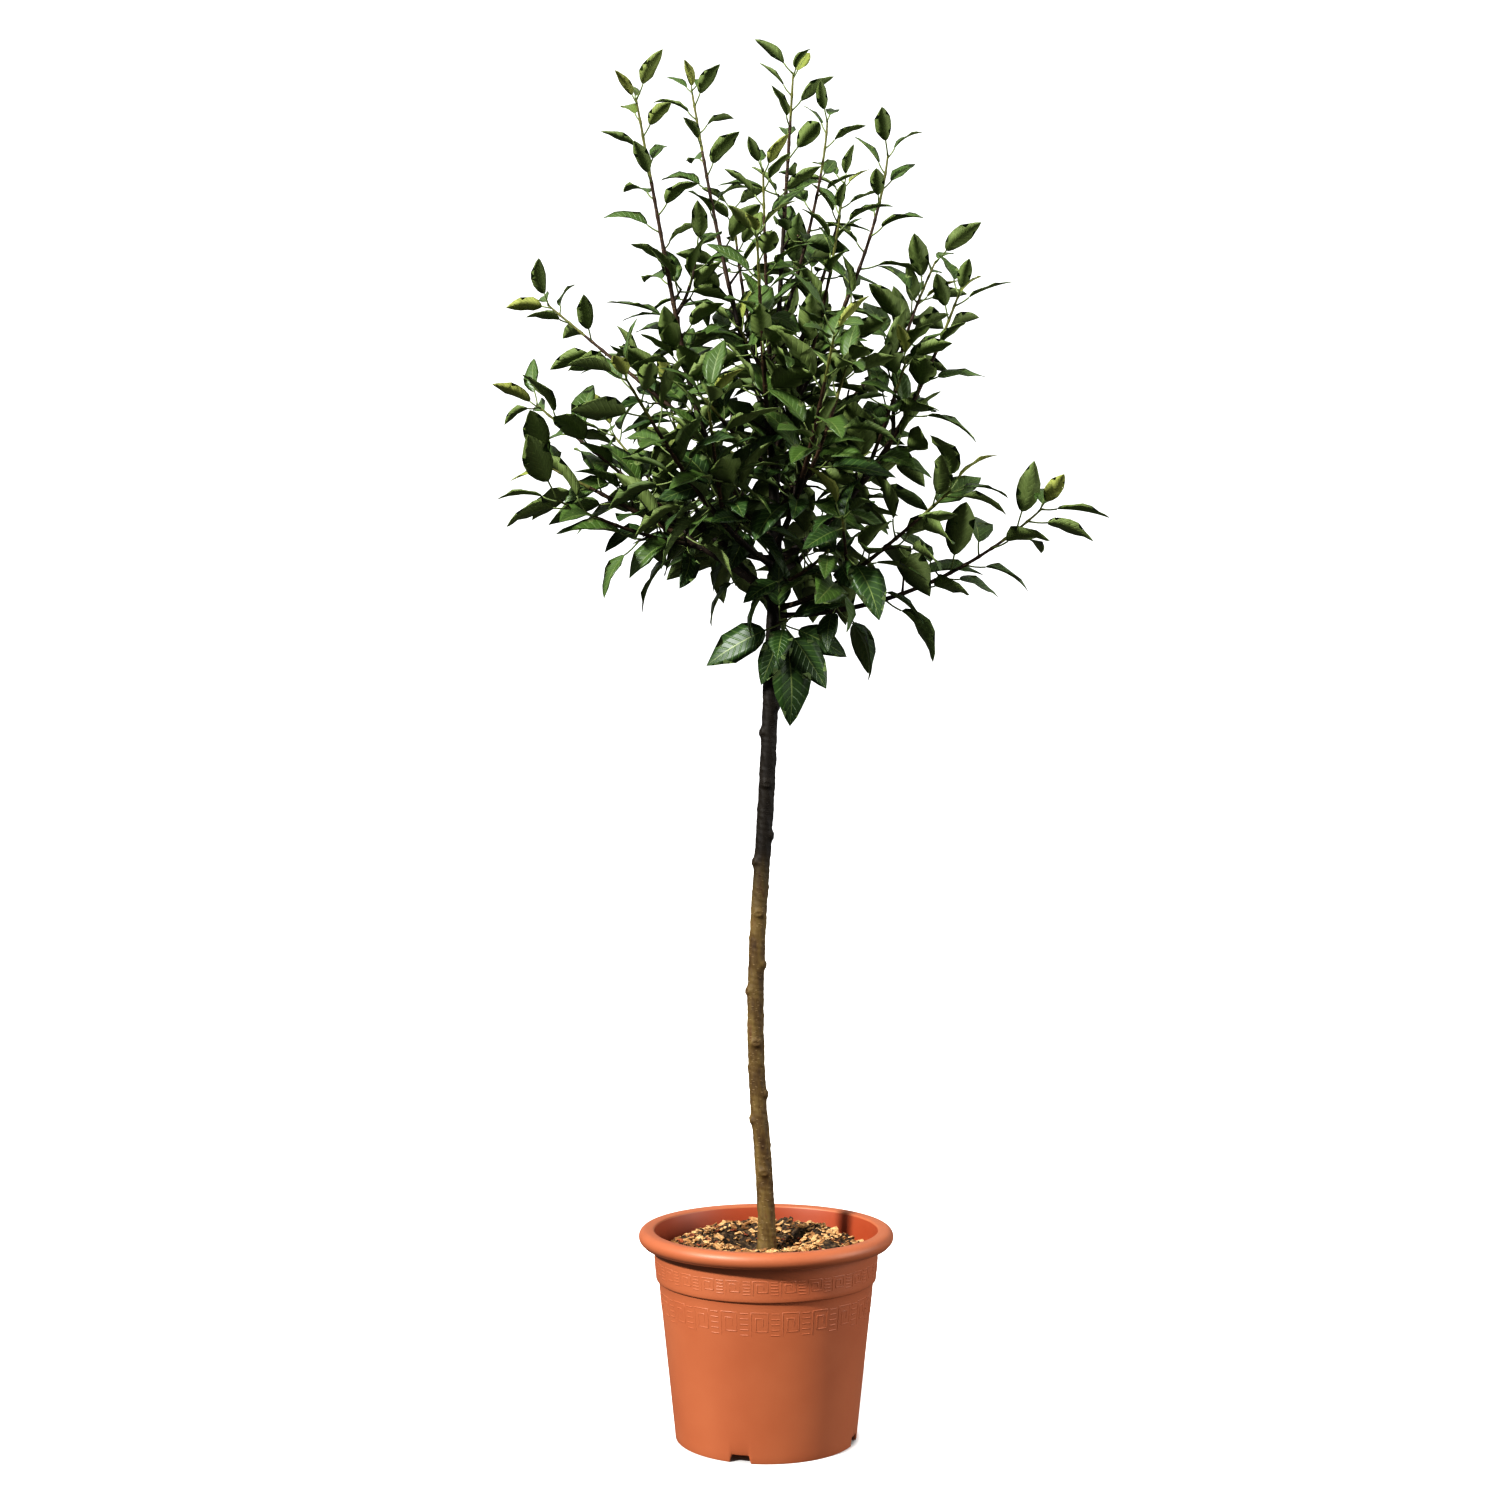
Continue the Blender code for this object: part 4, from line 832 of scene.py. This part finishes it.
centre, _ = trunk_at(skirt_height)
skirt = Stem(limb_path(centre, skirt_heading, skirt_lean, skirt_lean, 1.0, skirt_length), *skirt_radii)
stems.append(skirt)
rng = np.random.default_rng(growth_seed)
for k, (heading, lean, size) in enumerate(skirt_fan):
    draws = rng.random(2)
    turn, down = math.radians(heading), math.radians(lean)
    way = np.array([math.cos(turn) * math.sin(down), math.sin(turn) * math.sin(down), math.cos(down)])
    tip, axis, _ = skirt.at(skirt.length)
    up = turned(skirt_face - way * (skirt_face @ way), way, skirt_roll * (draws[0] - 0.5))
    root = tip - axis * (root_back + k * root_step)
    droop = drawn(skirt_droop, draws[1])
    keep_leaf(root, way, up, size, stalk_length * size, droop, skirt_fold, 0.0, 0, skirt_room)

spray = 1
shoots = []
by_name = {}
for name, height, heading, lean_foot, lean_tip, ease, length, radius, bare in limbs:
    centre, thick = trunk_at(height)
    stem = Stem(limb_path(centre, heading, lean_foot, lean_tip, ease, length), radius, kind="limb")
    by_name[name] = stem
    shoots.append((name, stem, bare * length, (1 - bare) * length, 0.0 if bare else float(thick)))
for name, height, heading, lean, length in heart_shoots:
    centre, thick = trunk_at(height)
    path = limb_path(centre, heading, lean, lean * heart_ease, 1.0, length + float(thick))
    stem = Stem(path, *heart_radii)
    shoots.append((name, stem, 0.0, stem.length, float(thick)))
branches = {}
for name, share, heading, lean_foot, lean_tip, ease, length in forks:
    root, _, radius = by_name[name].at(share * by_name[name].length)
    path = limb_path(root, heading, lean_foot, lean_tip, ease, length)
    stem = Stem(path, min(radius * fork_share, fork_most))
    branches.setdefault(name, []).append(stem)
for index, (name, stem, foot, length, start_at) in enumerate(shoots):
    rng = np.random.default_rng([growth_seed, index])
    stems.append(stem)
    clothe(stem, foot, length, start_at, rng, spray)
    for branch in branches.get(name, []):
        spray += 1
        stems.append(branch)
        clothe(branch, 0.0, branch.length, 0.0, rng, spray)
    spray += 1

# Finer twigs fill the crown's heart, each across its limb from the bud beside it
rng = np.random.default_rng([growth_seed, 99])
for stem in [stem for stem in stems if stem.buds]:
    for distance in stem.buds[::2]:
        draws = rng.random(6)
        root, axis, _ = stem.at(distance + inner_step)
        side = unit(np.cross(axis, unit(limb_aside)))
        side = turned(side, axis, 360 * draws[5])
        if math.hypot(root[0], root[1]) < inner_reach and inner_low < root[2] < inner_high:
            set_spur(root, axis, side, draws, rng, spray)


# Bark on the limbs is dark and knobbly at the buds, on the shoots reddish brown, and still
# green near the tips. A limb swells into a collar where it leaves the trunk.
ring_gaps = {"limb": 0.0030, "shoot": 0.0030, "spur": 0.0035}
limb_sides = {"limb": 12, "shoot": 8, "spur": 6}
bud_swell, bud_reach, limb_rough, limb_waves = 0.0005, 0.0026, 0.035, 12
# Shares of the foot's radius: how much the collar adds, how far up it sits and how far it runs
collar_swell, collar_place, collar_reach = 0.30, 1.4, 2.2
# A shoot starts where a limb is already a year old, and a spur is old wood throughout
stem_ages = {"limb": (0.0, 1.0), "shoot": (0.28, 0.72), "spur": (0.20, 0.0)}
bark_changes = (0.42, 0.82)


def limb_skin(stem):
    """Rings square to the limb: centre + r(a, d) (u cos a + v sin a).

    r is the taper, plus a bell at each bud, a collar at the foot and the bark's unevenness.
    """
    sides = limb_sides[stem.kind]
    rings = max(4, round(stem.length / ring_gaps[stem.kind]))
    along = np.linspace(0, stem.length, rings)
    centre = np.stack([np.interp(along, stem.along, c) for c in stem.points.T], 1)
    ways = np.gradient(centre, axis=0)
    ways /= np.linalg.norm(ways, axis=1)[:, None]
    chord = unit(stem.points[-1] - stem.points[0])
    level = np.cross(chord, (0, 0, 1.0))
    u = unit(level) if np.linalg.norm(level) > 0.01 else np.array([1.0, 0, 0])
    u = np.broadcast_to(u, ways.shape)
    v = np.cross(ways, u)
    radius = np.interp(along, stem.along, stem.radii)
    if len(stem.buds):
        off = along[:, None] - np.array(stem.buds)[None]
        radius = radius + (bud_swell * np.exp(-((off / bud_reach) ** 2))).sum(1)
    foot = stem.radii[0]
    collar = np.exp(-(((along - collar_place * foot) / (collar_reach * foot)) ** 2))
    radius = radius + collar_swell * foot * collar
    angle = np.linspace(0, 2 * math.pi, sides, endpoint=False)
    rough = limb_rough * radius[:, None] * bark_waves(angle, along[:, None], len(stem.points), limb_waves)
    grid = radius[:, None] + rough
    round_limb = u[:, None] * np.cos(angle)[None, :, None] + v[:, None] * np.sin(angle)[None, :, None]
    rows = centre[:, None] + grid[..., None] * round_limb
    return np.vstack([rows.reshape(-1, 3), centre[:1], centre[-1:]]), rings, sides


def joined_limbs(kinds):
    """Every stem of some kinds in one mesh. A face's bark goes by its ring's share of the length."""
    points, quads, ends, quad_slots, end_slots, start = [], [], [], [], [], 0
    for stem in stems:
        if stem.kind not in kinds:
            continue
        made, rings, sides = limb_skin(stem)
        quad, end = ring_faces(rings, sides, start)
        share = (np.arange(rings - 1) / (rings - 1)).repeat(sides)
        age = drawn(stem_ages[stem.kind], share)
        quad_slots.append(np.searchsorted(bark_changes, age))
        end_slots.append(np.repeat([quad_slots[-1][0], quad_slots[-1][-1]], sides))
        points.append(made)
        quads.append(quad)
        ends.append(end)
        start += len(made)
    slots = np.concatenate(quad_slots + end_slots)
    return np.vstack(points), [np.vstack(quads), np.vstack(ends)], slots


old_bark = bark("limb_bark", ((0.32, "#1C1510"), (0.52, "#2C221A"), (0.72, "#3C3026")), 90.0, 0.0005)
shoot_bark = bark("shoot_bark", ((0.32, "#2E2018"), (0.55, "#443224"), (0.75, "#54442E")), 120.0, 0.0003)
green_stops = ((0.32, "#55572C"), (0.55, "#6B6C38"), (0.75, "#7C7E46"))
green_bark = bark("green_shoot_bark", green_stops, 120.0, 0.0002)
masses = [node_name for node_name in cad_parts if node_name.startswith("foliage_")]
boughs = [node_name for node_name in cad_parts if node_name.startswith("bough_")]
for name, kinds, nodes in (
    ("limbs_bark", ("limb",), boughs + masses),
    ("shoots_bark", ("shoot",), masses),
    ("spurs_bark", ("spur",), masses),
):
    limb_points, limb_faces, limb_slots = joined_limbs(kinds)
    made = piece(name, limb_points, limb_faces, [old_bark, shoot_bark, green_bark], limb_slots)
    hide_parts(*nodes)


# Apple leaves are oval and pointed, folded up along the midrib and arched over, leathery and
# glossy above and paler, slightly felted below. Each hangs on a stalk a third of its length.
leaf_rows, vein_pairs = 9, 9
leaf_across = np.array([-1.0, -0.5, -0.04, 0.04, 0.5, 1.0])
leaf_data = [np.array(column) for column in zip(*leaves)]
leaf_root, leaf_way, leaf_up, leaf_blade, leaf_stalk, _, _, leaf_young, leaf_spray = leaf_data
outline_powers, tooth, round_length, round_power = (0.65, 1.05), 0.025, 0.062, 0.3
width_draw, twist_draw, fold_ease, margin_roll = (0.92, 0.16), 0.5, 0.35, 0.17
ripple_height, ripple_count, ripple_slant, blade_thickness = 0.11, 1.9, 1.3, 0.0004


def leaf_sheets(chosen, seed):
    """The chosen leaves as closed shells.

    Along the midrib s runs from 0 to 1 and across it t from -1 to 1. The half width is
    w = s^0.65 (1 - s)^1.05 over its greatest value, toothed by turns, and a larger leaf is
    rounder by the length to the power 0.3. A point is the midrib plus
    w t out + w (|t| sin f - c t^2 + ripple) up, with f the fold and c the roll of the margin. The
    lower sheet runs straight from the margins to a midrib a little below the upper one.
    """
    rng = np.random.default_rng(seed)
    count = len(chosen)
    s = 0.5 - 0.5 * np.cos(math.pi * np.linspace(0, 1, leaf_rows + 1)[1:-1])
    width = s ** outline_powers[0] * (1 - s) ** outline_powers[1]
    width = width / width.max() * (1 + tooth * (-1) ** np.arange(len(s)))
    length = leaf_blade[chosen][:, None]
    half = 0.5 * blade_width * length * (length / round_length) ** round_power * width
    half = half * drawn(width_draw, rng.random((count, 1)))
    args = [leaf_data[k][chosen][:, None] for k in range(3)]
    blade, stalk, droop, fold = (leaf_data[k][chosen][:, None, None] for k in range(3, 7))
    inner = np.concatenate([[0.0], s, [1.0]])[None, :, None]
    spine, ahead, above = spine_of(*args, blade, stalk, droop, inner)
    twist = (rng.random((count, 1, 1)) - 0.5) * twist_draw * inner
    out = np.cross(ahead, above)
    out, above = out * np.cos(twist) + above * np.sin(twist), above * np.cos(twist) - out * np.sin(twist)
    t = leaf_across[None, None, :, None]
    half = half[:, :, None, None]
    up_blade = s[None, :, None, None]
    fold = fold[:, None] * (1 - fold_ease * up_blade)
    wave = ripple_count * up_blade + rng.random((count, 1, 1, 1))
    ripple = ripple_height * np.sin(2 * math.pi * wave + ripple_slant * t)
    rise = np.abs(t) * np.sin(fold) - margin_roll * t**2 + ripple * t**2
    middle, side, top = (a[:, 1:-1, None] for a in (spine, out, above))
    upper = middle + half * (t * np.cos(fold) * side + rise * top)
    lower = spine[:, 1:-1, None] - above[:, 1:-1, None] * blade_thickness
    rings = np.concatenate([upper, lower], 2).reshape(count, -1, 3)
    flat = np.stack(np.broadcast_arrays(np.append(leaf_across, 0.0), s[:, None]), -1)
    uv = np.concatenate([flat.reshape(-1, 2), [(0, 0), (0, 1)]])
    return np.concatenate([rings, spine[:, :1], spine[:, -1:]], 1), np.tile(uv, (count, 1))


def leaf_faces():
    """Faces of one leaf, a tube of rings with one point below, and the finish of each.

    The finish is 0 above, 1 below and 2 on the midrib.
    """
    quads, fans = (faces[:, ::-1] for faces in ring_faces(leaf_rows - 1, len(leaf_across) + 1))
    finish_of = np.array([0, 0, 2, 0, 0, 1, 1])
    return np.roll(quads, 1, axis=1), fans, np.tile(finish_of, leaf_rows - 2), np.tile(finish_of, 2)


vein_slant, vein_from, patch_scale = -0.20, 0.55, 26.0
patch_dim, patch_bright = (0.80, 0.82, 0.80, 1), (1.22, 1.18, 1.15, 1)


def vein_lines(material, shader, code, mix, depth):
    """Side veins: bands of sin(2 pi 9 (v - 0.2 |u|)), whose crests take another tone and stand out.

    A vein leaves the midrib every ninth of the blade and runs forward as it nears the margin.
    Between the veins the blade's own colour is uneven, in patches a few centimetres wide.
    """
    flat = node(material, "UVMap", {"uv_map": "surface"})
    parts = node(material, "SeparateXYZ", links={0: (flat, "UV")})
    off = node(material, "Math", {"operation": "ABSOLUTE"}, {0: (parts, "X")})
    slant = node(material, "Math", {"operation": "MULTIPLY", 1: vein_slant}, {0: (off, 0)})
    along = node(material, "Math", {"operation": "ADD"}, {0: (parts, "Y"), 1: (slant, 0)})
    turn = 2 * math.pi * vein_pairs
    turns = node(material, "Math", {"operation": "MULTIPLY", 1: turn}, {0: (along, 0)})
    wave = node(material, "Math", {"operation": "SINE"}, {0: (turns, 0)})
    crest = node(material, "MapRange", {1: vein_from, 2: 1.0, 3: 0.0, 4: 1.0}, {"Value": (wave, 0)})
    share = node(material, "Math", {"operation": "MULTIPLY", 1: mix}, {0: (crest, 0)})
    place = node(material, "TexCoord")
    patch = node(material, "TexNoise", {"Scale": patch_scale, "Detail": 2.0}, {"Vector": (place, "Object")})
    base = np.array(shader.inputs["Base Color"].default_value)
    tones_of = {"data_type": "RGBA", 6: tuple(base * patch_dim), 7: tuple(base * patch_bright)}
    blade_tone = node(material, "Mix", tones_of, {0: (patch, "Fac")})
    vein = {"data_type": "RGBA", 7: (*linear(code), 1)}
    tone = node(material, "Mix", vein, {0: (share, 0), 6: (blade_tone, 2)})
    join(tone, 2, shader, "Base Color")
    relief = node(material, "Bump", {"Strength": 0.7, "Distance": depth}, {"Height": (crest, 0)})
    join(relief, "Normal", shader, "Normal")


# The rib and stalk are smooth, pale yellow green and a little waxy.
leaf_rib, shader = finish("leaf_midrib", "#6C7A46", 0.5)
mottled(leaf_rib, shader, 60.0, 2.0, ((0.35, "#5E6E3C"), (0.65, "#7A8850")))

# The upper skin is cutin over dark green cells: glossy, sunk along the veins. The felt below
# scatters light, so it is paler and matt. Leaves high and far out are painted brighter and low,
# inner ones darker, as painted light and shade with a random share; the youngest are yellow green.

# Name, colour above and below, roughness above
tones = (
    ("leaves_deep", "#304822", "#5C6E40", 0.45),
    ("leaves_mid", "#475E2C", "#6E7E4A", 0.44),
    ("leaves_bright", "#647438", "#808C50", 0.46),
    ("leaves_young", "#868F46", "#969C56", 0.46),
)
light_low, light_span, light_reach, light_part = 0.95, 0.70, 0.34, 0.45
spray_part, tone_steps, youngest = 0.35, (0.20, 0.62), 0.50
spray_draw = np.random.default_rng(31).random(int(leaf_spray.max()) + 1)
# Painted light and shade: the share grows with height and reach, so high, outer leaves take brighter tones.
light_share = (leaf_root[:, 2] - light_low) / light_span * light_part
light_share = light_share + np.hypot(leaf_root[:, 0], leaf_root[:, 1]) / light_reach * light_part
light_share = light_share + spray_part * (spray_draw[leaf_spray.astype(int)] - 0.5)
tone_of = np.where(leaf_young > youngest, 3, np.searchsorted(tone_steps, light_share))
one_quads, one_fans, quad_finish, fan_finish = leaf_faces()
for number, (name, over, under, gloss) in enumerate(tones):
    chosen = np.flatnonzero(tone_of == number)
    upper_skin, shader = finish(name + "_upper", over, gloss, 1.45)
    vein_lines(upper_skin, shader, "#6A8446", 0.34, 0.0005)
    under_skin, shader = finish(name + "_under", under, 0.68, 1.4)
    vein_lines(under_skin, shader, "#8A9C5E", 0.25, 0.0004)
    leaf_points, leaf_uv = leaf_sheets(chosen, 40 + number)
    blocks = [copied(faces, leaf_points.shape[1], len(chosen)) for faces in (one_quads, one_fans)]
    slots = np.concatenate([np.tile(quad_finish, len(chosen)), np.tile(fan_finish, len(chosen))])
    made = piece(name, leaf_points, blocks, [upper_skin, under_skin, leaf_rib], slots, leaf_uv)
    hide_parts(*masses)


# Each stalk is a thin round petiole, pale green, that thickens where it sits on the twig and
# again where it runs out into the midrib.
stalk_rings, stalk_sides, stalk_sag, stalk_over = 5, 5, 0.05, 1.01
stalk_radius, stalk_foot, foot_power, stalk_end = 0.00085, 0.00055, 6, 0.00010
stalk_girth = (0.7, 6)


def stalk_bars():
    """Rings along each stalk: root + way s - sag up sin(pi s), with a radius that swells at the foot."""
    s = np.linspace(0, 1, stalk_rings)[None, :, None]
    reach = leaf_stalk[:, None, None]
    up, way = leaf_up[:, None], leaf_way[:, None]
    sag = up * stalk_sag * reach * np.sin(math.pi * s)
    centre = leaf_root[:, None] + way * reach * s * stalk_over - sag
    side = np.cross(leaf_way, leaf_up)[:, None, None]
    radius = stalk_radius + stalk_foot * (1 - s) ** foot_power + stalk_end * s
    radius = radius * drawn(stalk_girth, leaf_blade[:, None, None])
    angle = np.linspace(0, 2 * math.pi, stalk_sides, endpoint=False)[None, None, :, None]
    ring = side * np.cos(angle) + up[:, None] * np.sin(angle)
    rows = centre[:, :, None] + radius[..., None] * ring
    return np.concatenate([rows.reshape(len(rows), -1, 3), centre[:, :1], centre[:, -1:]], 1)


stalk_points = stalk_bars()
count, stride = stalk_points.shape[:2]
blocks = [copied(faces, stride, count) for faces in ring_faces(stalk_rings, stalk_sides)]
stalks = piece("leaf_stalks", stalk_points, blocks, [leaf_rib])
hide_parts(*masses)


# The floor is a plain pale sheet that glows a little, so that it stays light in the tree's
# shadow, but not under the pot. It is kept out of the light that bounces, as the tree stands
# on no bright ground.
floor_reach = 30.0
glow_strength, glow_from, glow_whole = 0.5, 0.104, 0.112
white, shader = finish("pale_floor", "#CFCFCD", 0.9)
shader.inputs["Emission Color"].default_value = (1, 1, 1, 1)
place = node(white, "TexCoord")
off = node(white, "VectorMath", {"operation": "LENGTH"}, {0: (place, "Object")})
levels = {1: glow_from, 2: glow_whole, 3: 0.0, 4: glow_strength}
glow = node(white, "MapRange", levels, {"Value": (off, "Value")})
join(glow, 0, shader, "Emission Strength")
floor_corners = np.array([(-1, -1, 0), (1, -1, 0), (1, 1, 0), (-1, 1, 0)]) * floor_reach
floor_mesh = bpy.data.meshes.new("floor")
floor_mesh.from_pydata(floor_corners.tolist(), [], [(0, 1, 2, 3)])
floor_mesh.materials.append(white)
floor = bpy.data.objects.new("floor", floor_mesh)
floor.visible_diffuse = False
floor.visible_glossy = False
bpy.context.scene.collection.objects.link(floor)


# Daylight: a sun 36 degrees up at the front left, softened by haze, a broad low fill from the
# right, and a sky that is bright overhead and dim below. The camera sees the sky as plain white.
sky_low, sky_high, sky_dim, sky_bright = -0.2, 0.6, 0.13, 0.52
world = bpy.data.worlds.new("sky")
world.use_nodes = True
backdrop = world.node_tree.nodes["Background"]
backdrop.inputs["Color"].default_value = (1, 1, 1, 1)
direction = node(world, "TexCoord")
upwards = node(world, "SeparateXYZ", links={0: (direction, "Generated")})
levels = {1: sky_low, 2: sky_high, 3: sky_dim, 4: sky_bright}
glow = node(world, "MapRange", levels, {"Value": (upwards, "Z")})
ray = node(world, "LightPath")
seen = node(world, "Mix", {"data_type": "FLOAT", 3: 1.0}, {0: (ray, "Is Camera Ray"), 2: (glow, 0)})
join(seen, 0, backdrop, "Strength")
bpy.context.scene.world = world
# Name, turn about X, Y and Z, strength, and how many degrees of the sky it fills
for name, turn, strength, spread in (
    ("sun", (54, 0, -49), 4.9, 6.0),
    ("fill", (80, 0, 80), 1.90, 40.0),
):
    lamp = bpy.data.lights.new(name, "SUN")
    lamp.energy = strength
    lamp.angle = math.radians(spread)
    holder = bpy.data.objects.new(name, lamp)
    holder.rotation_euler = [math.radians(a) for a in turn]
    bpy.context.scene.collection.objects.link(holder)

# The camera stands level, a little left of the pot's axis. The tree's middle lies above the
# camera's height, so the frame is shifted up by 60 of its 1500 pixels.
focal_pixels, frame_pixels, shift_pixels = 2014, 1500, 60
camera = bpy.data.objects.new("camera", bpy.data.cameras.new("camera"))
camera.location = (-0.019, -2.38, 0.739)
camera.rotation_euler = (math.radians(90), 0, 0)
camera.data.sensor_width = 36.0
camera.data.lens = 36.0 * focal_pixels / frame_pixels
camera.data.shift_y = shift_pixels / frame_pixels
bpy.context.scene.collection.objects.link(camera)
bpy.context.scene.camera = camera
bpy.context.scene.view_settings.view_transform = "Standard"
bpy.context.scene.view_settings.look = "High Contrast"
